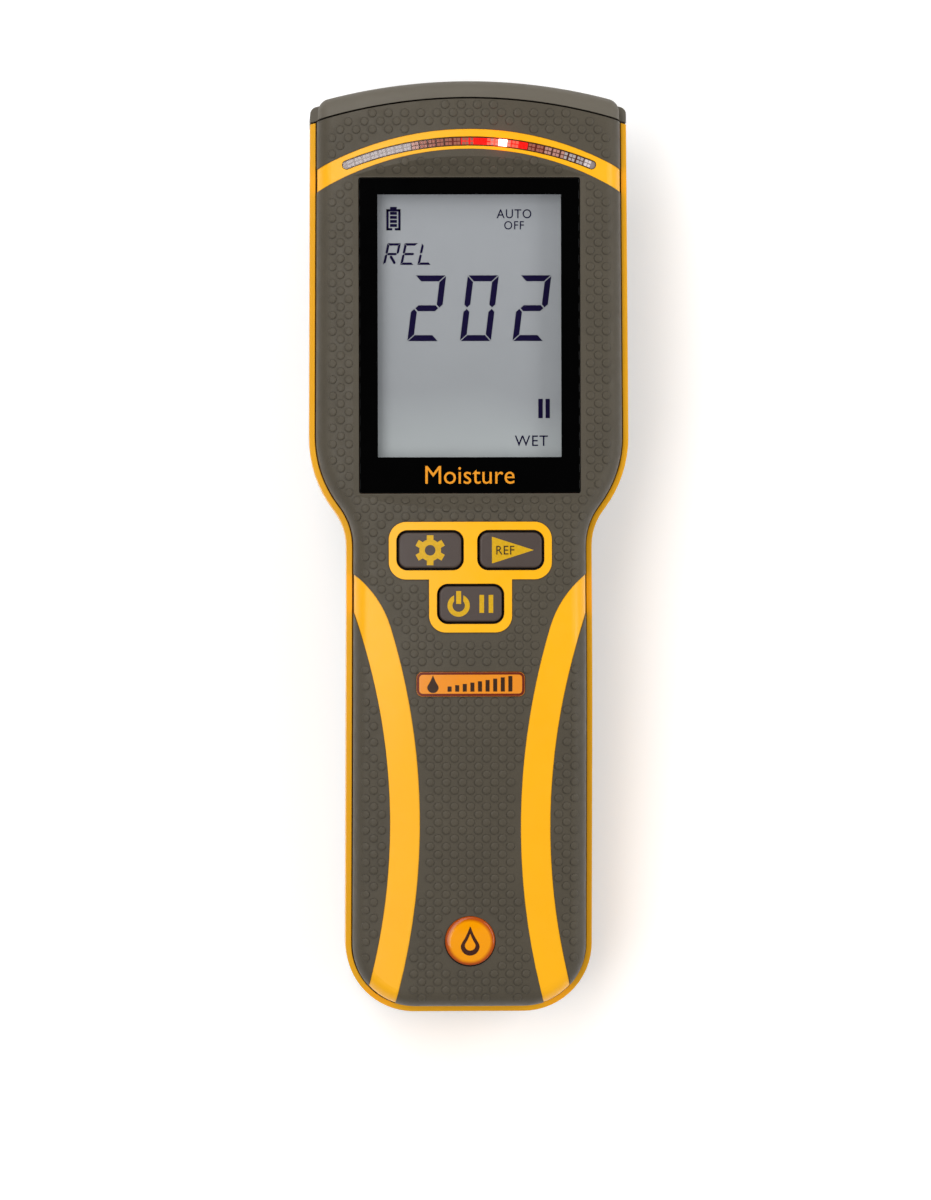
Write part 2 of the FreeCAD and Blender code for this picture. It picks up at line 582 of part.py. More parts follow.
def make_front_casing():
    stripes = grip_stripes()
    core = belt().cut(panel(-GROOVE, SHOULDER_R))
    core = core.fuse(panel(SKIN, SHOULDER_R - SKIN).cut(facet(SKIN)))
    proud = panel(STRIPE_SINK, SHOULDER_R - STRIPE_SINK)
    core = core.fuse([proud.common(head_stripe()), proud.common(stripes)])
    core = core.fuse(key_island().common(layer(-ISLAND_RISE, SKIN + ROOT)))
    core = core.cut(inner_space())
    core = core.cut(box(-POCKET_HALF_W, POCKET_HALF_W, POCKET_Y0, POCKET_Y1, POCKET_LOW, POCKET_Z))
    core = core.cut(key_holes())
    core = core.cut(rounded_block(VIEW_W, VIEW_H, VIEW_R, CUT_LOW, BIG, 0, VIEW_Y))
    core = core.cut(bar_strip(BAR_W, BAR_HALF_X, CUT_LOW, BIG))
    core = core.common(seam_disc(SEAM_GAP))
    room = inner_space().cut(tongue_space())
    bosses = [cylinder(BOARD_BOSS_R, x, y, BOARD_TOP, APEX_Z) for x, y in board_places()]
    posts = [place(cylinder(BOSS_R, 0, 0, PILLAR_TOP, BIG)) for place in screw_places()]
    solid = core.fuse([s.common(room) for s in bosses + posts])
    holes = [cylinder(PILOT_R, x, y, BOARD_TOP - 1, BOARD_TOP + PILOT_DEPTH) for x, y in board_places()]
    holes += [place(cylinder(SCREW_R + THREAD_FIT, 0, 0, 0, SCREW_END + 1)) for place in screw_places()]
    return solid.cut(holes).removeSplitter()


def make_front_skins():
    """The three grey skins moulded on the front: main, brow, and the pair of side grips."""
    skin = panel(0, SHOULDER_R).cut(facet(0)).cut(panel(SKIN, SHOULDER_R - SKIN).cut(facet(SKIN)))
    skin = skin.common(seam_disc(SEAM_GAP))
    stripes = grip_stripes()
    band = head_stripe()
    skin = skin.cut([band, stripes, key_island()])
    skin = skin.cut(window_opening())
    skin = skin.cut(nameplate_block(TRIM_FIT).common(below_front(-5)).cut(below_front(PLATE_SINK)))
    skin = skin.cut(cylinder(BADGE_R + TRIM_FIT, 0, BADGE_Y, 0, BIG).cut(below_front(PLATE_SINK)))
    groups = {"main": [], "brow": [], "side": []}
    for solid in skin.Solids:
        c = solid.CenterOfMass
        name = "brow" if c.y > 85 else "side" if abs(c.x) > 15 and c.y < 0 else "main"
        groups[name].append(solid)
    return groups


def window_opening():
    w, h = WINDOW_W + 2 * WINDOW_FIT, WINDOW_H + 2 * WINDOW_FIT
    return rounded_block(w, h, WINDOW_R + WINDOW_FIT, CUT_LOW, BIG, 0, WINDOW_Y)


def nameplate_block(grow=0.0):
    return rounded_block(PLATE_W + 2 * grow, PLATE_H + 2 * grow, PLATE_R + grow, 0, BIG, 0, PLATE_Y)


def make_badge():
    """Domed round badge, square to the leaning front of the handle."""
    z = APEX_Z - front_drop(BADGE_Y)
    lean = FreeCAD.Rotation(V(1, 0, 0), LEAN_DEG)
    up = lean.multVec(V(0, 0, 1))
    top = V(0, BADGE_Y, z) + up * BADGE_RISE
    ball = Part.makeSphere(BADGE_DOME_R, top - up * BADGE_DOME_R)
    disc = cylinder(BADGE_R, 0, BADGE_Y, 0, BIG).cut(below_front(PLATE_SINK))
    return disc.common(ball)


def door_space(gap):
    """The door's own outline with a gap round it, in the leaning frame."""
    w = DOOR_HALF_W + gap
    leaf = box(-w, w, HINGE_Y, DOOR_Y1 + gap, -3, DOOR_T)
    barrel = Part.makeCylinder(HINGE_R + gap, 2 * w, V(-w, HINGE_Y, HINGE_Z), V(1, 0, 0))
    mouth = box(-w, w, HINGE_Y - HINGE_R - gap, HINGE_Y, -3, HINGE_Z)
    return leaf.fuse([barrel, mouth])


def make_rear_skin():
    skin = back(0, SHOULDER_R).cut(back(SKIN, SHOULDER_R - SKIN, 1.0))
    skin = skin.common(box(-BIG, BIG, -BIG * 2, CAP_Y - CAP_GAP, 0, BIG))
    skin = skin.cut(leaning(door_space(DOOR_GAP)))
    skin = skin.cut([place(cylinder(SCREW_HEAD_R + SCREW_ROOM, 0, 0, -5, 5)) for place in screw_places()])
    skin = skin.cut([label_block(TRIM_FIT), box(-BIG, BIG, -2 * BIG, BIG, -10, 0)])
    return skin.removeSplitter()


def label_block(grow=0.0):
    w, h = LABEL_W + 2 * grow, LABEL_H + 2 * grow
    return rounded_block(w, h, LABEL_R + grow, REAR_Z - 1, REAR_Z + LABEL_T, 0, LABEL_Y)


def closure(outer, y0, y1):
    """A rear wall with its tongue inside the belt, between two stations along the body."""
    tongue = back(SKIN, SHOULDER_R - SKIN, TONGUE_UP)
    shell = outer.fuse(tongue) if outer else tongue
    shell = shell.cut(back(INSIDE, SHOULDER_R - INSIDE, TONGUE_UP + 1))
    shell = shell.common(box(-BIG, BIG, y0, y1, 0, BIG))
    return shell.cut(seal_ring(SEAL_FIT))


def seal_ring(grow=0.0):
    """Cord seal in a groove of the tongue, against the inside of the belt."""
    inset = BELT_WALL + SEAL_W + grow
    outer = prism(outline(BELT_WALL, BELT_WALL, SEAL_OUT_CORNER_R), DEEP, BIG)
    ring = outer.cut(prism(outline(inset, inset, SEAL_IN_CORNER_R), DEEP, BIG))
    low = BELT_UP + SEAL_UP
    ring = ring.common(above_rear(low - grow)).cut(above_rear(low + SEAL_T + grow))
    return ring.common(box(-BIG, BIG, -BIG * 2, SEAL_END_Y, DEEP, BIG))


def make_rear_casing():
    shell = closure(None, -BIG * 2, CAP_Y - CAP_GAP)
    handle_places = screw_places()[:2 * len(HANDLE_SCREWS)]
    pad = leaning(box(-PAD_HALF_W, PAD_HALF_W, PAD_Y0, DOOR_Y1 + PAD_PAST_DOOR, SKIN, PAD_Z))
    pillars = [place(cylinder(BOSS_R, 0, 0, SKIN + ROOT, PILLAR_TOP)) for place in handle_places]
    insert_boss = leaning(cylinder(BOSS_R, 0, DOOR_SCREW_Y, SKIN + ROOT, INSERT_BOSS_TOP))
    room = back(SKIN, SHOULDER_R - SKIN, 6)
    shell = shell.fuse([s.common(room) for s in [pad, insert_boss] + pillars])
    shell = shell.cut(leaning(door_space(DOOR_GAP)))
    shell = shell.cut(leaning(box(-BAY_HALF_W, BAY_HALF_W, BAY_Y0, BAY_Y1, -3, PAD_Z + 1)))
    shell = shell.cut(leaning(gasket_ring(SEAL_FIT)))
    shell = shell.cut(leaning(cylinder(INSERT_R + SEAL_FIT, 0, DOOR_SCREW_Y, 0, INSERT_TOP)))
    reach = DOOR_HALF_W + PIN_L + PIN_END_ROOM
    pins = Part.makeCylinder(PIN_R + PIN_ROOM, 2 * reach, V(-reach, HINGE_Y, HINGE_Z), V(1, 0, 0))
    shell = shell.cut(leaning(pins))
    return shell.cut([s for place in handle_places for s in screw_holes(place)]).removeSplitter()


def screw_holes(place):
    """Counterbore for a casing screw's head, and the clearance hole for its shank."""
    head = cylinder(SCREW_HEAD_R + SCREW_ROOM, 0, 0, -5, SCREW_SEAT)
    return [place(head), place(cylinder(SCREW_R + SHANK_ROOM, 0, 0, 0, PILLAR_TOP + 1))]


def gasket_ring(grow=0.0):
    """Flat seal round the battery bay, on the door."""
    near = GASKET_GAP - grow
    far = GASKET_GAP + GASKET_BAND + grow
    r_out, r_in = GASKET_RING_OUT_R + grow, GASKET_RING_IN_R - grow
    length, mid = BAY_Y1 - BAY_Y0, (BAY_Y1 + BAY_Y0) / 2
    z0, z1 = DOOR_T - grow, DOOR_T + GASKET_T + grow
    outer = rounded_block(2 * (BAY_HALF_W + far), length + 2 * far, r_out, z0, z1, 0, mid)
    inner = rounded_block(2 * (BAY_HALF_W + near), length + 2 * near, r_in, z0 - 1, z1 + 1, 0, mid)
    return outer.cut(inner)


def nose_block(inset, z1):
    block = rounded_block(NOSE_W - 2 * inset, NOSE_L - 2 * inset, NOSE_R - inset, inset, z1, 0, NOSE_Y)
    edges = [e for e in block.Edges if all(abs(v.Z - inset) < 1e-4 for v in e.Vertexes)]
    return block.makeFillet(NOSE_EDGE_R - inset, edges)


def make_cap():
    """The closed end beyond the seam: a raised front, and the belt's two ends beside it."""
    wire = outline(CAP_INSET, 0, CAP_EDGE_R + CORNER_MORE)
    front = prism(wire, 0, BIG).common(below_front(0)).cut(below_rim(LIP))
    front = front.common(box(-BIG, BIG, CAP_CUT_Y, 2 * BIG, 0, BIG))
    edges = rim_edges(front, wire, lambda m: above_rim(m) and m.y > CAP_CUT_Y + 0.5)
    front = front.makeFillet(CAP_EDGE_R, edges)
    wire = outline(0, CAP_EAR_INSET, CAP_EAR_R)
    rear = prism(wire, DEEP, BIG).common(below_rim()).common(above_rear(0))
    rear = rear.common(box(-BIG, BIG, CAP_CUT_Y, 2 * BIG, DEEP, BIG))
    edges = rim_edges(rear, wire, lambda m: m.z < REAR_Z + 0.1 and m.y > CAP_CUT_Y + 0.5)
    rear = rear.makeFillet(CAP_REAR_R, edges)
    inset = CAP_INSET + CAP_WALL
    hollow = prism(outline(inset, CAP_EAR_INSET + CAP_WALL, CAP_IN_CORNER_R), DEEP, BIG)
    hollow = hollow.common(below_front(CAP_WALL)).common(above_rear(CAP_WALL))
    return front.fuse(rear).cut(hollow).cut(seam_disc(0))


def make_sensor_housing():
    head_places = screw_places()[2 * len(HANDLE_SCREWS):]
    rear = closure(back(0, SHOULDER_R), CAP_Y + CAP_GAP, 2 * BIG).common(seam_disc(0))
    nose = nose_block(0, REAR_Z + NOSE_ROOT)
    pillars = [place(cylinder(BOSS_R, 0, 0, SKIN + ROOT, PILLAR_TOP)) for place in head_places]
    shell = make_cap().fuse([rear, nose] + pillars)
    shell = shell.cut(nose_block(NOSE_WALL, REAR_Z + NOSE_HOLLOW))
    return shell.cut([s for place in head_places for s in screw_holes(place)]).removeSplitter()


# ---- display, light bar and keys ----

def plate(w, h, t, z, x=0.0, y=0.0, r=0.5):
    """Flat plate with rounded corners, with its underside at z."""
    return rounded_block(w, h, r, z, z + t, x, y)


def make_window():
    slab = plate(WINDOW_W, WINDOW_H, WINDOW_T, FACET_Z - SKIN, 0, WINDOW_Y, WINDOW_R)
    top = [e for e in slab.Edges if all(v.Z > FACET_Z - SKIN + WINDOW_T - 1e-4 for v in e.Vertexes)]
    return slab.makeChamfer(WINDOW_BEVEL, top)


def frame_of(w, h, w_in, h_in, z0, z1, y):
    outer = rounded_block(w, h, FRAME_OUT_R, z0, z1, 0, y)
    return outer.cut(rounded_block(w_in, h_in, FRAME_IN_R, z0 - 1, z1 + 1, 0, y))


def make_display():
    y0 = VIEW_Y - LCD_H / 2
    strip_x = (-STRIP_HALF_L, STRIP_HALF_L)
    strip_y = y0 + STRIP_INSET
    light_h = LCD_H - STRIP_W - BACKLIGHT_SHORT
    light_y = y0 + LCD_H - light_h / 2
    lcd_bottom = LCD_TOP - LCD_T
    seen = (VIEW_W + GASKET_PAST_VIEW, VIEW_H + GASKET_PAST_VIEW)
    held = (LCD_W + FRAME_ROOM, LCD_H + FRAME_ROOM)
    return {
        "display_window": make_window(),
        "lcd_gasket": frame_of(GASKET_W, GASKET_H, *seen, LCD_TOP, ROOF_Z, VIEW_Y),
        "lcd_glass": plate(LCD_W, LCD_H, LCD_T, lcd_bottom, 0, VIEW_Y),
        "lcd_backlight": plate(LCD_W, light_h, BACKLIGHT_T, lcd_bottom - BACKLIGHT_T, 0, light_y),
        "lcd_connector_strip": box(*strip_x, strip_y, strip_y + STRIP_W, BOARD_TOP, lcd_bottom),
        "lcd_frame": frame_of(FRAME_W, FRAME_H, *held, BOARD_TOP, LCD_TOP, VIEW_Y),
    }


def make_light_bar():
    lens = bar_strip(BAR_W - BAR_FIT, BAR_HALF_X, BAR_BOARD_Z + LAMP_T + LAMP_ROOM, BIG)
    lens = lens.common(panel(STRIPE_SINK, SHOULDER_R - STRIPE_SINK, BAR_FOOT))
    span = 2 * math.degrees(math.asin(BAR_HALF_X / BAR_R))
    lamp = box(-LAMP_L / 2, LAMP_L / 2, -LAMP_W / 2, LAMP_W / 2, 0, LAMP_T)
    lamps = []
    for i in range(BAR_CELLS):
        a = math.radians(span * ((i + 0.5) / BAR_CELLS - 0.5))
        one = lamp.rotated(V(0, 0, 0), V(0, 0, 1), -math.degrees(a))
        lamps.append(one.translated(V(BAR_R * math.sin(a), BAR_Y + BAR_R * math.cos(a), BAR_BOARD_Z)))
    board_z = BAR_BOARD_Z - BAR_BOARD_T
    r0, r1 = BAR_R - BAR_BOARD_IN, BAR_R + BAR_BOARD_OUT
    board = ring_sector(BAR_Y, r0, r1, BAR_BOARD_HALF_X, board_z, BAR_BOARD_Z)
    lead_y = BAR_Y + BAR_R - LEAD_IN
    lead = box(-LEAD_HALF_W, LEAD_HALF_W, lead_y, lead_y + LEAD_T, BOARD_TOP, board_z)
    return {
        "light_bar_lens": lens,
        "light_bar_lamps": Part.makeCompound(lamps),
        "light_bar_board": board,
        "light_bar_lead": lead,
    }


def key_glyph(name, x, y):
    """The mark on a key, as a prism through it: a gear, a flag, or a power sign with a pause sign."""
    if name == "settings":
        gear = cylinder(GEAR_R, x, y, CUT_LOW, BIG)
        tooth = box(-TOOTH_HALF_W, TOOTH_HALF_W, TOOTH_FOOT, TOOTH_TIP, CUT_LOW, BIG)
        for i in range(GEAR_TEETH):
            turned = tooth.rotated(V(0, 0, 0), V(0, 0, 1), 360 * i / GEAR_TEETH)
            gear = gear.fuse(turned.translated(V(x, y, 0)))
        return gear.cut(cylinder(GEAR_BORE_R, x, y, CUT_LOW, BIG))
    if name == "reference":
        foot = V(x - FLAG_BACK, y - FLAG_HALF_H, CUT_LOW)
        head = V(x - FLAG_BACK, y + FLAG_HALF_H, CUT_LOW)
        tip = V(x + FLAG_TIP, y, CUT_LOW)
        return Part.Face(Part.makePolygon([foot, tip, head, foot])).extrude(V(0, 0, BIG - CUT_LOW))
    cx, cy, px = x + POWER_X, y + POWER_Y, x + PAUSE_X
    ring = cylinder(POWER_OUT_R, cx, cy, CUT_LOW, BIG).cut(cylinder(POWER_IN_R, cx, cy, CUT_LOW, BIG))
    ring = ring.cut(box(cx - POWER_GAP_HALF, cx + POWER_GAP_HALF, y, BIG, CUT_LOW, BIG))
    stem = box(cx - POWER_STEM_HALF, cx + POWER_STEM_HALF, y, y + POWER_STEM_TOP, CUT_LOW, BIG)
    bar = box(-PAUSE_HALF_W, PAUSE_HALF_W, -PAUSE_HALF_H, PAUSE_HALF_H, CUT_LOW, BIG)
    bars = [bar.translated(V(px + s * PAUSE_SPREAD, y, 0)) for s in (-1, 1)]
    return ring.fuse([stem] + bars)


def make_key(name):
    x, y = KEYS[name]
    w, h = KEY_HOLE_W - 2 * KEY_GAP, KEY_HOLE_H - 2 * KEY_GAP
    cap = rounded_block(w, h, KEY_HOLE_R - KEY_GAP, POCKET_Z - CAP_FOOT, BIG, x, y)
    cap = cap.common(below_front(-KEY_RISE))
    top = [e for e in cap.Edges if all(v.Z > APEX_Z - 2 for v in e.Vertexes)]
    cap = cap.makeFillet(KEY_EDGE_R, top)
    flange_top = POCKET_Z - KEY_REST_GAP
    flange = rounded_block(FLANGE_W, FLANGE_H, FLANGE_R, flange_top - FLANGE_T, flange_top, x, y)
    stem = cylinder(STEM_R, x, y, STEM_Z, flange_top - STEM_ROOT)
    key = cap.fuse([flange, stem])
    glyph_room = key_glyph(name, x, y).common(layer(-BIG, -KEY_RISE + MARK_T))
    return key.cut(glyph_room).removeSplitter()


def make_glyph(name):
    """Printed mark on a key, let into its top."""
    x, y = KEYS[name]
    return key_glyph(name, x, y).common(layer(-KEY_RISE, -KEY_RISE + MARK_T))


def make_key_parts():
    out = {}
    for name in KEYS:
        out[name + "_key"] = make_key(name)
        x, y = KEYS[name]
        low = SWITCH_TOP - BUTTON_SINK
        out[name + "_switch_plunger"] = cylinder(BUTTON_R, x, y, low, STEM_Z - KEY_REST_GAP)
    guide = rounded_block(GUIDE_W, GUIDE_L, GUIDE_R, GUIDE_Z, GUIDE_Z + GUIDE_T, 0, GUIDE_Y)
    holes = [cylinder(STEM_R + STEM_ROOM, x, y, CUT_LOW, BIG) for x, y in KEYS.values()]
    out["key_guide"] = guide.cut(holes)
    bodies = []
    for x, y in KEYS.values():
        switch = plate(SWITCH_W, SWITCH_W, SWITCH_TOP - BOARD_TOP, BOARD_TOP, x, y, SWITCH_CORNER_R)
        hole_z = SWITCH_TOP - BUTTON_SINK - KEY_TRAVEL - BUTTON_END_ROOM
        bodies.append(switch.cut(cylinder(BUTTON_R + BUTTON_ROOM, x, y, hole_z, BIG)))
    out["switch_bodies"] = Part.makeCompound(bodies)
    return out


# ---- boards ----

def make_boards():
    low = BOARD_TOP - BOARD_T
    right = [V(x, y, 0) for x, y in BOARD_CORNERS]
    left = [V(-x, y, 0) for x, y in reversed(BOARD_CORNERS)]
    board = prism(Part.makePolygon(right + left + right[:1]), low, BOARD_TOP)
    head_places = screw_places()[2 * len(HANDLE_SCREWS):]
    posts = [place(cylinder(BOSS_R + POST_ROOM, 0, 0, 0, BIG)) for place in head_places]
    holes = [cylinder(BOARD_HOLE_R, x, y, 0, BIG) for x, y in board_places()]
    end = BOARD_TOP + BOARD_SCREW_L
    screw = upright_screw(low, end, BOARD_SCREW_HEAD_R, BOARD_SCREW_R, BOARD_SCREW_HEAD_H)
    return {
        "main_board": board.cut(posts + holes),
        "board_screws": Part.makeCompound([screw.translated(V(x, y, 0)) for x, y in board_places()]),
    }


def make_board_parts():
    low = BOARD_TOP - BOARD_T
    chips = [plate(w, h, t, low - t, x, y, CHIP_CORNER_R) for x, y, w, h, t in CHIPS]
    buzzer = cylinder(BUZZER_R, BUZZER_X, BUZZER_Y, low - BUZZER_T, low)
    buzzer = buzzer.cut(cylinder(BUZZER_HOLE_R, BUZZER_X, BUZZER_Y, 0, low - BUZZER_T + BUZZER_HOLE_DEPTH))
    return {
        "microcontroller": plate(CPU_W, CPU_W, CPU_T, low - CPU_T, 0, CPU_Y, CPU_CORNER_R),
        "board_components": Part.makeCompound(chips),
        "buzzer": buzzer,
    }


def bent_strip(points, half_w, t):
    """Flat ribbon through points of its side view, thickened along the body."""
    front = [V(-half_w, y, z) for y, z in points]
    rear = [V(-half_w, y + t, z) for y, z in reversed(points)]
    face = Part.Face(Part.makePolygon(front + rear + front[:1]))
    return face.extrude(V(2 * half_w, 0, 0))


def make_sensor():
    z0 = NOSE_WALL
    z1 = z0 + ELECTRODE_T
    ring = rounded_block(RING_W, RING_L, RING_R, z0, z1, 0, NOSE_Y)
    band = 2 * RING_BAND
    ring = ring.cut(rounded_block(RING_W - band, RING_L - band, RING_IN_R, z0 - 1, z1 + 1, 0, NOSE_Y))
    centre = rounded_block(CENTRE_W, CENTRE_L, CENTRE_R, z0, z1, 0, NOSE_Y)
    z2 = z1 + SENSOR_BOARD_T
    size = (SENSOR_BOARD_W, SENSOR_BOARD_L, SENSOR_BOARD_R)
    board = rounded_block(*size, z1, z2, 0, NOSE_Y)
    band = 2 * SENSOR_FRAME_BAND
    opening = [v - b for v, b in zip(size, (band, band, SENSOR_FRAME_BAND))]
    frame = rounded_block(*size, z2, z2 + SENSOR_FRAME_T, 0, NOSE_Y)
    frame = frame.cut(rounded_block(*opening, z2 - 1, z2 + SENSOR_FRAME_T + 1, 0, NOSE_Y))
    chip_z = BOARD_TOP - BOARD_T - CHIPS[-1][-1]
    far_y, (bend_z0, bend_z1) = RIBBON_Y + RIBBON_STEP, RIBBON_BEND_Z
    route = [(RIBBON_Y, z2), (RIBBON_Y, bend_z0), (far_y, bend_z1), (far_y, chip_z)]
    return {
        "sensor_electrodes": Part.makeCompound([ring, centre]),
        "sensor_board": board,
        "sensor_frame": frame,
        "sensor_ribbon": bent_strip(route, RIBBON_HALF_W, RIBBON_T),
    }


# ---- battery bay and door, in the leaning frame ----

def coil_spring(x, y, length, reverse):
    """Battery spring along the bay from y: half turns of wire, each tilted to climb to the next."""
    climb = (length - 2 * WIRE_R) / (2 * COIL_TURNS)
    halves = []
    for i in range(2 * COIL_TURNS):
        side = 1 - 2 * (i % 2)
        start = V(side * COIL_R, 0, WIRE_R + climb * i)
        centre = V(0, 0, start.z + climb / 2)
        ahead = V(0, side, 0)
        wire = Part.Face(Part.Wire(Part.makeCircle(WIRE_R, start, ahead)))
        halves.append(wire.revolve(centre, (start - centre).cross(ahead), 180))
    coil = halves[0].fuse(halves[1:])
    coil.rotate(V(0, 0, 0), V(1, 0, 0), 90 if reverse else -90)
    coil.translate(V(x, y, CELL_Z))
    return coil


def make_cell(side, spring_l):
    """Round cell: the right one's nub points towards the head, the left one's towards the heel."""
    x = side * CELL_X
    near, far = BAY_Y0 + CONTACT_T, BAY_Y1 - CONTACT_T
    start, nub_y = (near + NUB_L, near) if side < 0 else (near + spring_l, far - NUB_L)
    body = Part.makeCylinder(CELL_R, CELL_L - NUB_L, V(x, start, CELL_Z), V(0, 1, 0))
    body = body.makeFillet(CELL_EDGE_R, [e for e in body.Edges if len(e.Vertexes) == 1])
    nub = Part.makeCylinder(NUB_R, NUB_L, V(x, nub_y, CELL_Z), V(0, 1, 0))
    return leaning(body.fuse(nub))


def make_power():
    far, near = BAY_Y1 - CONTACT_T, BAY_Y0 + CONTACT_T
    spring_l = far - near - CELL_L
    top = CELL_Z + CELL_R + CELL_ROOM
    w = BAY_HALF_W + TRAY_WALL
    tray = box(-w, w, BAY_Y0 - TRAY_WALL, BAY_Y1 + TRAY_WALL, PAD_Z, top + TRAY_WALL)
    tray = tray.cut(box(-BAY_HALF_W, BAY_HALF_W, BAY_Y0, BAY_Y1, PAD_Z - 1, top))
    z0, z1 = CELL_Z - CONTACT_HALF, CELL_Z + CONTACT_HALF
    plate_half = CONTACT_HALF_W
    plates = [box(s * CELL_X - plate_half, s * CELL_X + plate_half, far, BAY_Y1, z0, z1) for s in (-1, 1)]
    bridge = box(-BRIDGE_HALF_W, BRIDGE_HALF_W, BAY_Y0, near, z0, z1)
    springs = [coil_spring(CELL_X, near, spring_l, False), coil_spring(-CELL_X, far, spring_l, True)]
    leads = []
    for x in (-BATTERY_LEAD_X, BATTERY_LEAD_X):
        start = leaning(Part.Vertex(V(x, BAY_Y1 + TRAY_WALL + LEAD_GAP, top - LEAD_DROP))).Point
        end = V(x, BATTERY_LEAD_END_Y, BOARD_TOP - BOARD_T)
        route = [start, V(x, start.y + LEAD_RUN, start.z), V(x, end.y, start.z + LEAD_CLIMB), end]
        leads.append(tube(route, BATTERY_LEAD_R))
    return {
        "battery_left": make_cell(-1, spring_l),
        "battery_right": make_cell(1, spring_l),
        "battery_tray": leaning(tray),
        "contact_plates": Part.makeCompound([leaning(p) for p in plates]),
        "bridge_plate": leaning(bridge),
        "battery_springs": Part.makeCompound([leaning(s) for s in springs]),
        "battery_leads": Part.makeCompound(leads),
    }


def tube(points, r):
    """Round tube along straight runs joined by tangent arcs."""
    edges, at = [], points[0]
    for a, b, c in zip(points, points[1:], points[2:]):
        reach = BEND_SHARE * min((b - a).Length, (c - b).Length)
        turn = (b - a).getAngle(c - b)
        p0, mid, p1 = corner(a, b, c, reach / math.tan(turn / 2))
        edges += [Part.LineSegment(at, p0).toShape(), Part.Arc(p0, mid, p1).toShape()]
        at = p1
    edges.append(Part.LineSegment(at, points[-1]).toShape())
    circle = Part.Wire(Part.makeCircle(r, points[0], points[1] - points[0]))
    return Part.Wire(edges).makePipeShell([circle], True, True)


def make_door():
    w = DOOR_HALF_W
    door = box(-w, w, HINGE_Y, DOOR_Y1, 0, DOOR_T)
    upright = [e for e in door.Edges if abs(e.Vertexes[0].Z - e.Vertexes[-1].Z) > 1]
    corners = [e for e in upright if e.Vertexes[0].Y > DOOR_Y1 - 1]
    door = door.makeFillet(DOOR_CORNER_R, corners)
    barrel = Part.makeCylinder(HINGE_R, 2 * w, V(-w, HINGE_Y, HINGE_Z), V(1, 0, 0))
    pins = Part.makeCylinder(PIN_R, 2 * (w + PIN_L), V(-w - PIN_L, HINGE_Y, HINGE_Z), V(1, 0, 0))
    door = door.fuse([barrel, pins])
    door = door.cut([
        cylinder(DOOR_SCREW_HEAD_R + SCREW_ROOM, 0, DOOR_SCREW_Y, -1, DOOR_SCREW_SEAT),
        cylinder(SCREW_R + DOOR_SHANK_ROOM, 0, DOOR_SCREW_Y, 0, DOOR_SCREW_END),
        cylinder(RETAINER_R + SCREW_ROOM, 0, DOOR_SCREW_Y, RETAINER_Z0 - RETAINER_UNDER, DOOR_SCREW_END),
    ])
    screw = upright_screw(DOOR_SCREW_SEAT, DOOR_SCREW_END, DOOR_SCREW_HEAD_R, SCREW_R, DOOR_SCREW_HEAD_H)
    screw = screw.translated(V(0, DOOR_SCREW_Y, 0))
    ring = cylinder(RETAINER_R, 0, DOOR_SCREW_Y, RETAINER_Z0, RETAINER_Z1)
    ring = ring.cut(cylinder(SCREW_R + RETAINER_FIT, 0, DOOR_SCREW_Y, 0, DOOR_SCREW_END))
    insert = cylinder(INSERT_R, 0, DOOR_SCREW_Y, DOOR_T + INSERT_LIFT, INSERT_TOP)
    insert = insert.cut(cylinder(SCREW_R + INSERT_ROOM, 0, DOOR_SCREW_Y, 0, INSERT_TOP + 1))
    return {
        "battery_door": leaning(door),
        "door_gasket": leaning(gasket_ring()),
        "door_screw": leaning(screw),
        "screw_retaining_ring": leaning(ring),
        "threaded_insert": leaning(insert),
    }


def make_trim():
    plate_top = below_front(-PLATE_RISE).cut(below_front(PLATE_SINK))
    label = label_block().common(above_rear(0))
    screw = upright_screw(SCREW_SEAT, SCREW_END, SCREW_HEAD_R, SCREW_R, SCREW_HEAD_H)
    return {
        "nameplate": nameplate_block().common(plate_top),
        "round_badge": make_badge(),
        "rear_label": label,
        "casing_screws": Part.makeCompound([place(screw) for place in screw_places()]),
        "casing_seal": seal_ring(),
    }


def main():
    skins = make_front_skins()
    parts = {
        "front_casing": make_front_casing(),
        "front_grip_skin": Part.makeCompound(skins["main"]),
        "brow_skin": Part.makeCompound(skins["brow"]),
        "side_grips": Part.makeCompound(skins["side"]),
        "rear_casing": make_rear_casing(),
        "rear_grip_skin": make_rear_skin(),
        "sensor_housing": make_sensor_housing(),
    }
    groups = [make_display, make_light_bar, make_key_parts, make_boards, make_board_parts]
    groups += [make_sensor, make_power, make_door, make_trim]
    for group in groups:
        parts.update(group())
    for name in KEYS:
        parts[name + "_key_mark"] = make_glyph(name)
    os.makedirs("parts", exist_ok=True)
    for node, shape in parts.items():
        shape.exportStep(f"parts/{node}.step")
        bad = "" if shape.isValid() and all(s.Volume > 0 for s in shape.Solids) else "  NOT VALID"
        print(f"{node}: {len(shape.Solids)} solid(s), {shape.Volume:.1f} mm3{bad}")


main()
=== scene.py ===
"""A hand-held moisture meter lying on its back on a pale floor, seen from above.

Lengths are in metres. The meter lies with +X to the right of its display, +Y towards the sensor end
and +Z out of the display. Sizes of what is drawn on it are in millimetres, multiplied by MM.
"""
import json
import math
import random

import bmesh
import bpy
from mathutils import Matrix, Vector
from mathutils.bvhtree import BVHTree


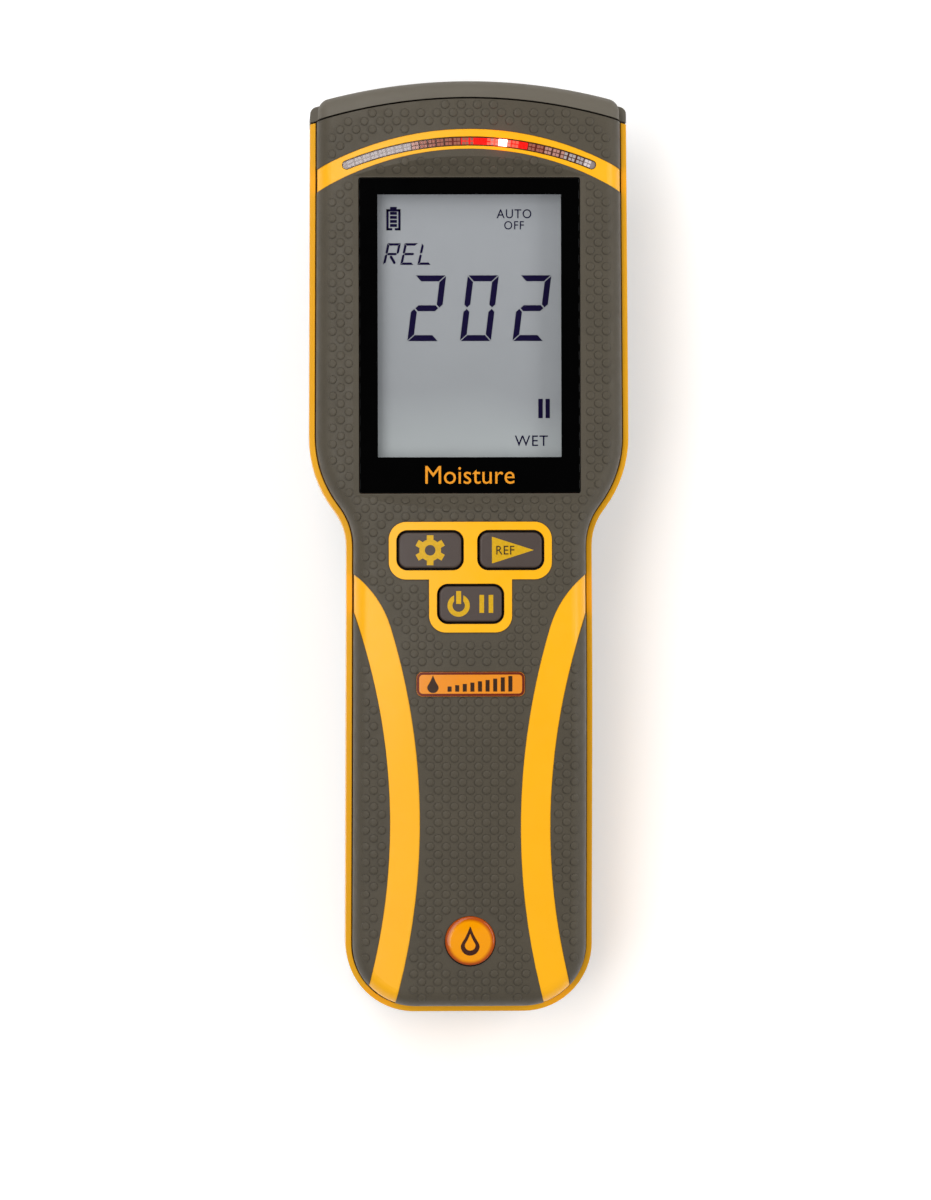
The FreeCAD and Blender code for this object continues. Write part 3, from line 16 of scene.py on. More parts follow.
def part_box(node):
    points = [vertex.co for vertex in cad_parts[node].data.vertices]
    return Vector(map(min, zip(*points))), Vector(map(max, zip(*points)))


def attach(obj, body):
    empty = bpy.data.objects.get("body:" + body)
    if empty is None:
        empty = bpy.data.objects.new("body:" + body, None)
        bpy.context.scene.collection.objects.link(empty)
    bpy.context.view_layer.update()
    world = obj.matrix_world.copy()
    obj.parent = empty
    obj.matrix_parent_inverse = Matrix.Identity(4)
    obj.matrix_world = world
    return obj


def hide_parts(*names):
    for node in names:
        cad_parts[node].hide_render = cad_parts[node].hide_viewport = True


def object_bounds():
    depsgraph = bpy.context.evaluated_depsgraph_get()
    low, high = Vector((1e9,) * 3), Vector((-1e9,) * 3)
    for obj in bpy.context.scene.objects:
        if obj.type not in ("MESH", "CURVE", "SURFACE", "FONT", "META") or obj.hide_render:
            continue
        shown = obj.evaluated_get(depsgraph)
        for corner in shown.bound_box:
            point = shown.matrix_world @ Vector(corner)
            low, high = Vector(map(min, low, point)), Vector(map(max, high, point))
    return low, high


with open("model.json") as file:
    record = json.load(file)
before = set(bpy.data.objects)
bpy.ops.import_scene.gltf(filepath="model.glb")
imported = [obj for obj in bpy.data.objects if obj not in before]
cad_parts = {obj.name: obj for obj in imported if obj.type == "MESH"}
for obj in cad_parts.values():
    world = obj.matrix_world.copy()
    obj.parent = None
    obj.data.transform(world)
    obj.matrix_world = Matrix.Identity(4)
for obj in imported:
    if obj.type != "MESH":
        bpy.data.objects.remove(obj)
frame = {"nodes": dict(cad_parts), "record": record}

MM = 0.001
nodes = frame["nodes"]
cad_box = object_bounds()
scene = bpy.context.scene


def lin(r, g, b):
    """Linear colour from 8-bit sRGB values."""
    out = []
    for v in (r, g, b):
        c = v / 255
        out.append(c / 12.92 if c <= 0.04045 else ((c + 0.055) / 1.055) ** 2.4)
    return (*out, 1.0)


def middle(node):
    lo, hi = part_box(node)
    return (lo + hi) / 2


# ---- camera, lights and floor ----

FRAME_HEIGHT = 0.2628         # what the picture's long side shows, at the casing's widest level
CAMERA_DISTANCE = 1.5
CAMERA_LEAN_DEG = 1.7         # the camera stands slightly to the left of straight above
CAMERA_ROLL_DEG = -0.14       # it is turned very slightly clockwise
AIM = Vector((-0.00064, -0.01115, 0.032))
SENSOR = 36.0


def make_camera():
    data = bpy.data.cameras.new("camera")
    data.sensor_width = SENSOR
    data.lens = SENSOR * CAMERA_DISTANCE / FRAME_HEIGHT
    data.clip_start, data.clip_end = 0.01, 20
    camera = bpy.data.objects.new("camera", data)
    scene.collection.objects.link(camera)
    lean = math.radians(CAMERA_LEAN_DEG)
    back = Vector((-math.sin(lean), 0, math.cos(lean)))
    camera.location = AIM + back * CAMERA_DISTANCE
    turn = Matrix.Rotation(-lean, 4, "Y") @ Matrix.Rotation(math.radians(CAMERA_ROLL_DEG), 4, "Z")
    camera.rotation_euler = turn.to_euler()
    scene.camera = camera


def area_light(name, place, aim, size, power):
    data = bpy.data.lights.new(name, "AREA")
    data.shape = "RECTANGLE"
    data.size, data.size_y = size
    data.energy = power
    lamp = bpy.data.objects.new(name, data)
    lamp.location = place
    lamp.rotation_euler = (Vector(aim) - Vector(place)).to_track_quat("-Z", "Y").to_euler()
    scene.collection.objects.link(lamp)


LIT_POINT = (0, 0, 0.03)
SOFTBOXES = {                 # place, width and height, power in watts
    "left_softbox": ((-0.47, 0.10, 1.15), (1.5, 0.66), 10.2),
    "right_softbox": ((0.95, 0.05, 0.70), (1.2, 0.4), 5.6),
    "head_softbox": ((-0.25, 1.05, 0.80), (1.0, 0.35), 3.0),
}


def make_lights():
    for name, (place, size, power) in SOFTBOXES.items():
        area_light(name, place, LIT_POINT, size, power)
    make_sky()


DARK_CONE = 0.955             # least upward part of the directions that the dark overhead panel covers
CONE_EDGE = 0.02
SKY_STRENGTH = 0.37
FLOOR_HALF = 2.5
FLOOR_GLOW = 0.22


def make_sky():
    """Even white surroundings with a dark panel straight overhead, so that flat gloss stays dark."""
    world = bpy.data.worlds.new("studio")
    world.use_nodes = True
    tree = world.node_tree
    background = tree.nodes["Background"]
    place = tree.nodes.new("ShaderNodeTexCoord")
    split = tree.nodes.new("ShaderNodeSeparateXYZ")
    ramp = tree.nodes.new("ShaderNodeValToRGB")
    near, far = ramp.color_ramp.elements
    near.position, near.color = DARK_CONE, (1, 1, 1, 1)
    far.position, far.color = DARK_CONE + CONE_EDGE, (0.01, 0.01, 0.01, 1)
    tree.links.new(place.outputs["Generated"], split.inputs[0])
    tree.links.new(split.outputs["Z"], ramp.inputs[0])
    tree.links.new(ramp.outputs[0], background.inputs["Color"])
    background.inputs["Strength"].default_value = SKY_STRENGTH
    scene.world = world


def make_floor():
    bm = bmesh.new()
    bmesh.ops.create_grid(bm, x_segments=1, y_segments=1, size=FLOOR_HALF)
    mesh = bpy.data.meshes.new("floor")
    bm.to_mesh(mesh)
    bm.free()
    floor = bpy.data.objects.new("floor", mesh)
    scene.collection.objects.link(floor)
    paint = Paint("floor_paper", (0.95, 0.95, 0.95, 1), 0.9)
    paint.set("Specular IOR Level", 0.1)
    paint.set("Emission Color", (1, 1, 1, 1))
    paint.set("Emission Strength", FLOOR_GLOW)
    mesh.materials.append(paint.material)


# ---- materials ----

class Paint:
    """A principled material and short ways to add nodes to it."""

    def __init__(self, name, colour, roughness, **sockets):
        self.material = bpy.data.materials.new(name)
        self.material.use_nodes = True
        self.tree = self.material.node_tree
        self.shader = self.tree.nodes["Principled BSDF"]
        self.output = self.tree.nodes["Material Output"]
        self.set("Base Color", colour)
        self.set("Roughness", roughness)
        for socket, value in sockets.items():
            self.set(socket.replace("_", " ").title().replace("Ior", "IOR"), value)
        self.place = self.node("ShaderNodeTexCoord").outputs["Object"]

    def set(self, socket, value):
        self.shader.inputs[socket].default_value = value

    def node(self, kind, **values):
        made = self.tree.nodes.new(kind)
        for key, value in values.items():
            setattr(made, key, value)
        return made

    def join(self, source, target):
        self.tree.links.new(source, target)

    def math(self, operation, a, b=None, clamp=False):
        made = self.node("ShaderNodeMath", operation=operation, use_clamp=clamp)
        for i, value in enumerate((a, b)):
            if isinstance(value, (int, float)):
                made.inputs[i].default_value = value
            elif value is not None:
                self.join(value, made.inputs[i])
        return made.outputs[0]

    def noise(self, size, detail=2.0, roughness=0.5, stretch=None):
        """Noise with features of about this size."""
        made = self.node("ShaderNodeTexNoise")
        made.inputs["Scale"].default_value = 1 / size
        made.inputs["Detail"].default_value = detail
        made.inputs["Roughness"].default_value = roughness
        place = self.place
        if stretch:
            scale = self.node("ShaderNodeVectorMath", operation="MULTIPLY")
            scale.inputs[1].default_value = stretch
            self.join(place, scale.inputs[0])
            place = scale.outputs[0]
        self.join(place, made.inputs["Vector"])
        return made.outputs[0]

    def ramp(self, value, stops):
        made = self.node("ShaderNodeValToRGB")
        ends = made.color_ramp.elements
        while len(ends) < len(stops):
            ends.new(0.5)
        for end, (at, colour) in zip(ends, stops):
            end.position = at
            end.color = colour
        self.join(value, made.inputs[0])
        return made.outputs[0]

    def mix(self, factor, a, b):
        made = self.node("ShaderNodeMix", data_type="RGBA")
        for socket, value in ((0, factor), (6, a), (7, b)):
            if isinstance(value, (int, float, tuple)):
                made.inputs[socket].default_value = value
            else:
                self.join(value, made.inputs[socket])
        return made.outputs[2]

    def vary(self, colour, spread, size):
        """Slow colour variation about the base colour."""
        darker = tuple(c * (1 - spread) for c in colour[:3]) + (1.0,)
        lighter = tuple(min(1.0, c * (1 + spread)) for c in colour[:3]) + (1.0,)
        return self.ramp(self.noise(size, 3.0), [(0.3, darker), (0.7, lighter)])

    def rough(self, low, high, size):
        """Roughness that wanders between two values."""
        spread = self.node("ShaderNodeMapRange")
        spread.inputs["From Min"].default_value = 0.3
        spread.inputs["From Max"].default_value = 0.7
        spread.inputs["To Min"].default_value = low
        spread.inputs["To Max"].default_value = high
        self.join(self.noise(size, 4.0), spread.inputs["Value"])
        self.join(spread.outputs[0], self.shader.inputs["Roughness"])

    def bumps(self, height, depth, edge=0.0):
        """Bump from a height, over edges that look rounded by a radius."""
        bump = self.node("ShaderNodeBump")
        bump.inputs["Strength"].default_value = 1.0
        bump.inputs["Distance"].default_value = depth
        self.join(height, bump.inputs["Height"])
        if edge:
            bevel = self.node("ShaderNodeBevel", samples=4)
            bevel.inputs["Radius"].default_value = edge
            self.join(bevel.outputs[0], bump.inputs["Normal"])
        self.join(bump.outputs[0], self.shader.inputs["Normal"])

    def crevice(self, colour, tint, reach):
        """Painted shade: darkens a colour towards a tint by ambient occlusion, in hollows and along the
        lines where another part begins.
        """
        shade = self.node("ShaderNodeAmbientOcclusion", samples=8)
        shade.inputs["Distance"].default_value = reach
        closed = self.ramp(shade.outputs["AO"], [(0.42, (1, 1, 1, 1)), (0.75, (0, 0, 0, 1))])
        return self.mix(closed, colour, tint)

    def within(self, lo, hi):
        """1 where the place is inside a box, given by as many coordinates as matter, and 0 elsewhere."""
        split = self.node("ShaderNodeSeparateXYZ")
        self.join(self.place, split.inputs[0])
        inside = 1.0
        for axis, (a, b) in enumerate(zip(lo, hi)):
            inside = self.math("MULTIPLY", self.math("GREATER_THAN", split.outputs[axis], a), inside)
            inside = self.math("MULTIPLY", self.math("LESS_THAN", split.outputs[axis], b), inside)
        return inside

    def colour_from(self, socket):
        self.join(socket, self.shader.inputs["Base Color"])


# the tint and reach set painted shade in creases; without a tint there is none
MOULDED = {"grain": 0.09, "depth": 0.012, "edge": 0.22, "spread": 0.03, "crevice": None, "reach": 0.9}


def moulded_plastic(name, colour, low, high, **options):
    """Moulded plastic with a fine spark-eroded grain and softened edges, and painted shade in its creases
    when a tint for it is given. Lengths are in millimetres.
    """
    look = {key: options.pop(key, usual) for key, usual in MOULDED.items()}
    grain, depth, edge = look["grain"], look["depth"], look["edge"]
    paint = Paint(name, colour, (low + high) / 2, **options)
    tone = paint.vary(colour, look["spread"], 14 * MM)
    # painted shade in creases, towards the tint given
    if look["crevice"]:
        tone = paint.crevice(tone, look["crevice"], look["reach"] * MM)
    paint.colour_from(tone)
    paint.rough(low, high, 3 * MM)
    paint.bumps(paint.noise(grain * MM, 2.0), depth * MM, edge * MM)
    return paint.material


def casing_plastic():
    """Yellow plastic with painted shade in red-brown along its grooves and seams, painted black on the walls
    of the display's opening.
    """
    paint = Paint("yellow_plastic", YELLOW, 0.35, specular_ior_level=0.34)
    # painted shade: the yellow turns red-brown where ambient occlusion finds grooves and seams
    tone = paint.crevice(paint.vary(YELLOW, 0.02, 14 * MM), SEAM_SHADE_BROWN, 0.9 * MM)
    lo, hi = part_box("lcd_gasket")
    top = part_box("display_window")[0].z + 0.2 * MM
    walls = paint.within((lo.x, lo.y, lo.z), (hi.x, hi.y, top))
    paint.colour_from(paint.mix(walls, tone, (0.004, 0.004, 0.004, 1)))
    paint.rough(0.3, 0.4, 3 * MM)
    paint.bumps(paint.noise(0.09 * MM, 2.0), 0.012 * MM, 0.22 * MM)
    return paint.material


def grip_rubber():
    """Soft overmould: warm dark grey, matt with a faint sheen and a fine speckle, with painted shade in dark
    rings round its dots.
    """
    base = lin(74, 67, 54)
    paint = Paint("grip_rubber", base, 0.55, specular_ior_level=0.34, sheen_weight=0.06, sheen_roughness=0.5)
    cloud = paint.vary(base, 0.06, 9 * MM)
    dim, bright = (0.93, 0.93, 0.93, 1), (1.06, 1.06, 1.06, 1)
    speck = paint.ramp(paint.noise(0.25 * MM, 1.0), [(0.35, dim), (0.65, bright)])
    tint = paint.node("ShaderNodeMix", data_type="RGBA", blend_type="MULTIPLY")
    tint.inputs[0].default_value = 1.0
    paint.join(cloud, tint.inputs[6])
    paint.join(speck, tint.inputs[7])
    # painted shade: dark rings in the creases round the dots
    paint.colour_from(paint.crevice(tint.outputs[2], lin(26, 23, 18), 0.6 * MM))
    paint.rough(0.48, 0.62, 2 * MM)
    paint.bumps(paint.noise(0.12 * MM, 3.0, 0.6), 0.016 * MM, 0.2 * MM)
    return paint.material


def brushed_metal(name, colour, rough, across):
    """Machined or drawn metal, with fine lines along one direction."""
    paint = Paint(name, colour, rough, metallic=1.0)
    paint.colour_from(paint.vary(colour, 0.08, 2 * MM))
    paint.rough(rough * 0.7, rough * 1.4, 0.6 * MM)
    paint.bumps(paint.noise(0.1 * MM, 2.0, 0.5, across), 0.008 * MM)
    return paint.material


def add_pane(paint, tint, rough, ior):
    """Clear sheet that reflects the surroundings from its outer face only."""
    clear = paint.node("ShaderNodeBsdfTransparent")
    clear.inputs["Color"].default_value = tint
    gloss = paint.node("ShaderNodeBsdfGlossy")
    gloss.inputs["Roughness"].default_value = rough
    fresnel = paint.node("ShaderNodeFresnel")
    fresnel.inputs["IOR"].default_value = ior
    inner = paint.node("ShaderNodeNewGeometry").outputs["Backfacing"]
    outer = paint.math("SUBTRACT", 1.0, inner)
    pane = paint.node("ShaderNodeMixShader")
    paint.join(paint.math("MULTIPLY", fresnel.outputs[0], outer), pane.inputs[0])
    paint.join(clear.outputs[0], pane.inputs[1])
    paint.join(gloss.outputs[0], pane.inputs[2])
    return pane.outputs[0]


def window_material():
    """Clear acrylic, printed black behind its border."""
    paint = Paint("window_glass", (0.001, 0.001, 0.001, 1), 0.06, specular_ior_level=0.25)
    inside = paint.within(*lcd_view())
    whole = paint.node("ShaderNodeMixShader")
    paint.join(inside, whole.inputs[0])
    paint.join(paint.shader.outputs[0], whole.inputs[1])
    paint.join(add_pane(paint, (0.98, 0.98, 0.98, 1), 0.05, 1.35), whole.inputs[2])
    paint.join(whole.outputs[0], paint.output.inputs["Surface"])
    paint.rough(0.05, 0.1, 6 * MM)
    return paint.material


def lcd_material():
    """Pale grey liquid-crystal panel, a little brighter at its foot, with a faint glow that is painted
    light, keeping it bright in the shade under the window.
    """
    paint = Paint("lcd", lin(160, 165, 167), 0.35, specular_ior_level=0.3)
    lo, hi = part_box("lcd_glass")
    split = paint.node("ShaderNodeSeparateXYZ")
    paint.join(paint.place, split.inputs[0])
    height = paint.node("ShaderNodeMapRange")
    height.inputs["From Min"].default_value = lo.y
    height.inputs["From Max"].default_value = hi.y
    paint.join(split.outputs[1], height.inputs["Value"])
    wander = paint.math("MULTIPLY", paint.noise(30 * MM, 1.0), 0.25)
    shade = paint.math("ADD", paint.math("MULTIPLY", height.outputs[0], 0.8), wander)
    foot, body, head = lin(170, 176, 176), lin(140, 143, 146), lin(148, 151, 155)
    tone = paint.ramp(shade, [(0.0, foot), (0.35, body), (1.0, head)])
    paint.colour_from(tone)
    # painted light: the panel glows so that the shade under the window does not darken it
    paint.join(tone, paint.shader.inputs["Emission Color"])
    paint.set("Emission Strength", LCD_FILL_GLOW)
    paint.rough(0.3, 0.4, 5 * MM)
    return paint.material


def ink(name, colour, rough=0.4, glow=0.0):
    """Printed or switched-on marks: one colour, with the slight mottle of ink."""
    paint = Paint(name, colour, rough, specular_ior_level=0.3)
    paint.colour_from(paint.vary(colour, 0.08, 0.5 * MM))
    paint.rough(rough * 0.8, rough * 1.2, 0.4 * MM)
    if glow:
        paint.set("Emission Color", colour)
        paint.set("Emission Strength", glow)
    return paint.material


def clear_lens():
    """Clear glossy plastic over the lights."""
    paint = Paint("lens_plastic", (1, 1, 1, 1), 0.1)
    paint.join(add_pane(paint, (0.96, 0.93, 0.92, 1), 0.15, 1.4), paint.output.inputs["Surface"])
    return paint.material


def circuit_board():
    paint = Paint("circuit_board", lin(20, 92, 54), 0.35, coat_weight=0.3)
    tracks = paint.node("ShaderNodeTexBrick")
    tracks.inputs["Scale"].default_value = 1.0
    tracks.inputs["Brick Width"].default_value = 7 * MM
    tracks.inputs["Row Height"].default_value = 1.6 * MM
    tracks.inputs["Mortar Size"].default_value = 0.14 * MM
    tracks.inputs["Color1"].default_value = lin(18, 84, 48)
    tracks.inputs["Color2"].default_value = lin(22, 98, 58)
    tracks.inputs["Mortar"].default_value = lin(44, 128, 78)
    paint.join(paint.place, tracks.inputs["Vector"])
    paint.colour_from(tracks.outputs["Color"])
    paint.bumps(tracks.outputs["Fac"], 0.03 * MM)
    return paint.material


# strength of the painted glow that keeps the display bright under the window
LCD_FILL_GLOW = 0.21
YELLOW = lin(250, 178, 10)
# red-brown tint of the painted shade along the yellow's grooves and seams
SEAM_SHADE_BROWN = lin(120, 44, 10)
HOUSING = lin(100, 94, 83)


def make_materials():
    return {
        "yellow_plastic": casing_plastic(),
        "grip_rubber": grip_rubber(),
        # painted shade in red-brown along the rear's seams
        "rear_plastic": moulded_plastic(
            "rear_plastic", YELLOW, 0.36, 0.46, spread=0.02, crevice=SEAM_SHADE_BROWN,
        ),
        "housing_plastic": moulded_plastic("housing_plastic", HOUSING, 0.5, 0.6, specular_ior_level=0.3),
        "door_plastic": moulded_plastic("door_plastic", lin(84, 79, 68), 0.42, 0.52, grain=0.14, depth=0.02),
        "window_glass": window_material(),
        "black_foam": moulded_plastic("black_foam", lin(20, 20, 20), 0.85, 0.95, grain=0.3, depth=0.06),
        "lcd": lcd_material(),
        "white_plastic": moulded_plastic("white_plastic", lin(222, 222, 216), 0.4, 0.5),
        "silicone": moulded_plastic("silicone", lin(52, 52, 52), 0.55, 0.65),
        "lens_plastic": clear_lens(),
        "lamp": ink("lamp", lin(215, 120, 110), 0.3),
        "circuit_board": circuit_board(),
        "ribbon": brushed_metal("ribbon", lin(190, 120, 40), 0.5, (1, 1, 0.02)),
        # painted shade: a near-black tint in the gaps round the keys
        "key_rubber": moulded_plastic(
            "key_rubber", lin(71, 60, 55), 0.42, 0.52,
            depth=0.01, edge=0.15, crevice=lin(16, 10, 6), reach=1.4, specular_ior_level=0.36,
        ),
        "key_mark": ink("key_mark", lin(206, 160, 14), 0.38),
        "switch_plastic": moulded_plastic("switch_plastic", lin(24, 24, 24), 0.4, 0.5),
        "steel": brushed_metal("steel", lin(178, 178, 176), 0.3, (1, 0.05, 1)),
        "chip_plastic": moulded_plastic("chip_plastic", lin(22, 22, 24), 0.5, 0.6, grain=0.06),
        "copper": brushed_metal("copper", lin(196, 122, 78), 0.35, (0.05, 1, 1)),
        "battery_jacket": moulded_plastic("battery_jacket", lin(44, 46, 50), 0.22, 0.3, depth=0.004),
        "tray_plastic": moulded_plastic("tray_plastic", lin(32, 32, 32), 0.5, 0.6),
        "lead_insulation": moulded_plastic("lead_insulation", lin(170, 20, 18), 0.4, 0.5),
        "brass": brushed_metal("brass", lin(190, 150, 80), 0.3, (1, 1, 0.05)),
        # painted shade: a dark red tint along the plates' edges and seams
        "badge_orange": moulded_plastic(
            "badge_orange", lin(234, 142, 36), 0.2, 0.26,
            depth=0.003, edge=0.15, crevice=lin(60, 14, 4), reach=0.7, coat_weight=0.6, coat_roughness=0.06,
        ),
        "label_film": moulded_plastic("label_film", lin(182, 182, 176), 0.3, 0.36, depth=0.004),
    }


def dress_nodes(materials):
    """Every CAD node takes the material of its slot."""
    for entry in frame["record"]["subparts"]:
        mesh = nodes[entry["node"]].data
        mesh.materials.clear()
        mesh.materials.append(materials[entry["material_slot"]])


# ---- building pieces ----

def add_piece(name, bm, body, slot, *materials, smooth=True):
    """A finished piece that rides on a body and wears the materials given. The slot is not used."""
    mesh = bpy.data.meshes.new(name)
    bmesh.ops.recalc_face_normals(bm, faces=bm.faces)
    bm.to_mesh(mesh)
    bm.free()
    for face in mesh.polygons:
        face.use_smooth = smooth
    for material in materials:
        mesh.materials.append(material)
    piece = bpy.data.objects.new(name, mesh)
    scene.collection.objects.link(piece)
    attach(piece, body)
    return piece


def skin_rings(bm, rings):
    """Faces between each ring of vertices and the next."""
    for low, high in zip(rings, rings[1:]):
        for i in range(len(low)):
            j = (i + 1) % len(low)
            bm.faces.new((low[i], low[j], high[j], high[i]))


def surface_of(*names):
    """Ray-castable copy of some nodes' surfaces."""
    points, faces = [], []
    for name in names:
        mesh = nodes[name].data
        start = len(points)
        points += [v.co.copy() for v in mesh.vertices]
        faces += [[start + i for i in p.vertices] for p in mesh.polygons]
    return BVHTree.FromPolygons(points, faces)


def drop(surface, x, y, up=1):
    """Where a vertical line meets a surface first, from above or, with up of -1, from below."""
    point, normal, _, _ = surface.ray_cast(Vector((x, y, 0.2 * up)), Vector((0, 0, -up)))
    if point is None:
        return None, None
    return point, normal if normal.z * up > 0 else -normal


DOT_PITCH = 3.5 * MM
DOT_R = 0.92 * MM
DOT_RISE = 0.26 * MM
DOT_ROOM = 1.08 * MM          # bare skin that each dot needs round its middle
DOT_STEEPEST = 0.80           # least upward part of the skin's normal under a dot
DOT_SIDES = 14
DOT_PROFILE = [(1.03, -0.4), (1.0, 0.35), (0.95, 0.8), (0.86, 1.0), (0.4, 1.04)]
DOT_PROBES = 12               # places round a dot where the skin is felt for
STEP_LIMIT = 0.9 * MM         # most that the skin may rise or fall under a dot
SAME = 0.01 * MM              # two heights this close are one surface


FRONT_SKINS = ["front_grip_skin", "brow_skin", "side_grips"]
FRONT_OTHERS = ["front_casing", "display_window", "nameplate", "round_badge"]
REAR_OTHERS = ["rear_label", "battery_door", "rear_casing"]
REAR_DOTS_LOW = 0.7 * MM      # no dots on the rear skin below this, where the heel meets the floor


def has_room(surface, bare, x, y, z, up):
    """True where nothing but the skin, running on smoothly, is all round a dot."""
    for i in range(DOT_PROBES):
        turn = math.tau * i / DOT_PROBES
        at = x + DOT_ROOM * math.cos(turn), y + DOT_ROOM * math.sin(turn)
        point, _ = drop(surface, *at, up)
        own, _ = drop(bare, *at, up)
        if own is None or abs(own.z - z) > STEP_LIMIT or abs(own.z - point.z) > SAME:
            return False
    return True


def add_dot(bm, point, normal):
    """A low round dot with a flat top, on the skin."""
    turn = normal.to_track_quat("Z", "Y").to_matrix()
    rings = []
    for radius, rise in DOT_PROFILE:
        ring = []
        for i in range(DOT_SIDES):
            a = math.tau * i / DOT_SIDES
            local = Vector((radius * DOT_R * math.cos(a), radius * DOT_R * math.sin(a), rise * DOT_RISE))
            ring.append(bm.verts.new(point + turn @ local))
        rings.append(ring)
    skin_rings(bm, rings)
    bm.faces.new(rings[-1])
    bm.faces.new(rings[0][::-1])


def make_dots(name, skins, others, up, low_z, materials):
    """Raised dots on a lattice of rows, each row set half a pitch along from the last."""
    surface = surface_of(*skins, *others)
    bare = surface_of(*skins)
    lo, hi = cad_box
    bm = bmesh.new()
    rows = int((hi.y - lo.y) / DOT_PITCH) + 1
    columns = int((hi.x - lo.x) / DOT_PITCH / 2) + 1
    for row in range(-rows, rows + 1):
        y = (lo.y + hi.y) / 2 + row * DOT_PITCH / 2
        for column in range(-columns, columns + 1):
            x = (column + 0.5 * (row % 2)) * DOT_PITCH
            point, normal = drop(surface, x, y, up)
            if point is None or normal.z * up < DOT_STEEPEST or point.z < low_z:
                continue
            own, _ = drop(bare, x, y, up)
            if own is None or abs(own.z - point.z) > SAME:
                continue
            if has_room(surface, bare, x, y, point.z, up):
                add_dot(bm, point, normal)
    add_piece(name, bm, "meter", "grip_rubber", materials["grip_rubber"])


# ---- display ----

VIEW_HALF = Vector((19.95, 28.55)) * MM
SEGMENT = 1.28 * MM
READING_SLANT = math.tan(math.radians(7))
MODE_SLANT = math.tan(math.radians(12))
MARK_LIFT = 0.03 * MM
MARK_T = 0.06 * MM


def lcd_view():
    """Corners of the part of the display that shows, on plan."""
    c = middle("lcd_glass")
    return (c.x - VIEW_HALF.x, c.y - VIEW_HALF.y), (c.x + VIEW_HALF.x, c.y + VIEW_HALF.y)


def add_prism(bm, outline, z, thickness=MARK_T):
    """Thin prism over a plan outline."""
    low = [bm.verts.new((x, y, z)) for x, y in outline]
    high = [bm.verts.new((x, y, z + thickness)) for x, y in outline]
    n = len(outline)
    bm.faces.new(high)
    bm.faces.new(low[::-1])
    for i in range(n):
        j = (i + 1) % n
        bm.faces.new((low[i], low[j], high[j], high[i]))


def bar(a, b, width, gap, pointed=True):
    """Outline of a segment from a to b, with pointed ends, short of both by a gap."""
    a, b = Vector(a), Vector(b)
    along = (b - a).normalized()
    side = Vector((-along.y, along.x)) * width / 2
    a, b = a + along * gap, b - along * gap
    if not pointed:
        return [a + side, a - side, b - side, b + side]
    tip = along * width / 2
    return [a, a + tip - side, b - tip - side, b, b - tip + side, a + tip + side]


SEVEN = {"0": "abcdef", "2": "abged", "R": "abefgk", "E": "adefg", "L": "def"}


def segment_outline(name, w, h, t, gap):
    """Outline of a segment of a character of half sizes w and h: mitred at corners, pointed elsewhere."""
    if name == "k":
        return bar((-w * 0.3, -t / 2), (w, -h - t / 4), t, t * 0.2)
    if name == "g":
        return bar((-w, 0), (w, 0), t, gap * 1.4)
    if name in "ad":
        side = 1 if name == "a" else -1
        out = w + t / 2 - gap
        points = [(-out, h + t / 2), (out, h + t / 2), (out - t, h - t / 2), (t - out, h - t / 2)]
        return [Vector((x, y * side)) for x, y in points]
    across = 1 if name in "bc" else -1
    side = 1 if name in "bf" else -1
    top = h + t / 2 - gap
    low = t / 2 + gap
    points = [(w + t / 2, top), (w - t / 2, top - t), (w - t / 2, low), (w, gap), (w + t / 2, low)]
    return [Vector((x * across, y * side)) for x, y in points]


def add_character(bm, character, centre, half_w, half_h, width, slant, z):
    for name in SEVEN[character]:
        outline = segment_outline(name, half_w, half_h, width, width * 0.13)
        add_prism(bm, [(centre[0] + p.x + p.y * slant, centre[1] + p.y) for p in outline], z)


def letter_outlines(words, spacing):
    """Rings of points round plain lettering at size 1."""
    curve = bpy.data.curves.new("lettering", "FONT")
    curve.body = words
    curve.size = 1.0
    curve.space_character = spacing
    curve.resolution_u = 4
    curve.fill_mode = "NONE"
    holder = bpy.data.objects.new("lettering", curve)
    scene.collection.objects.link(holder)
    bpy.context.view_layer.update()
    mesh = bpy.data.meshes.new_from_object(holder)
    bpy.data.objects.remove(holder)
    beside = {i: [] for i in range(len(mesh.vertices))}
    for edge in mesh.edges:
        a, b = edge.vertices
        beside[a].append(b)
        beside[b].append(a)
    rings = []
    while beside:
        at, ring = min(beside), []
        while at is not None:
            ring.append(mesh.vertices[at].co.xy.copy())
            at = next((i for i in beside.pop(at) if i in beside), None)
        rings.append(ring)
    bpy.data.meshes.remove(mesh)
    return rings


def text_mesh(words, height, centre, z, spacing, squeeze):
    """Plain lettering as a mesh, centred on a point, with capitals of a height."""
    rings = letter_outlines(words, spacing)
    xs = [p.x for ring in rings for p in ring]
    capital = 0.69            # height of the plain font's capitals at size 1
    scale = height / capital
    shift_x = (min(xs) + max(xs)) / 2
    bm = bmesh.new()
    for ring in rings:
        verts = []
        for p in ring:
            x = centre[0] + (p.x - shift_x) * scale * squeeze
            verts.append(bm.verts.new((x, centre[1] + (p.y - capital / 2) * scale, z)))
        for a, b in zip(verts, verts[1:] + verts[:1]):
            bm.edges.new((a, b))
    bmesh.ops.triangle_fill(bm, edges=list(bm.edges), use_beauty=False, normal=(0, 0, 1))
    top = bmesh.ops.extrude_face_region(bm, geom=list(bm.faces))
    for v in top["geom"]:
        if isinstance(v, bmesh.types.BMVert):
            v.co.z += MARK_T
    return bm


def merge(target, source):
    """Adds one bmesh to another."""
    mesh = bpy.data.meshes.new("merge")
    source.to_mesh(mesh)
    source.free()
    target.from_mesh(mesh)
    bpy.data.meshes.remove(mesh)


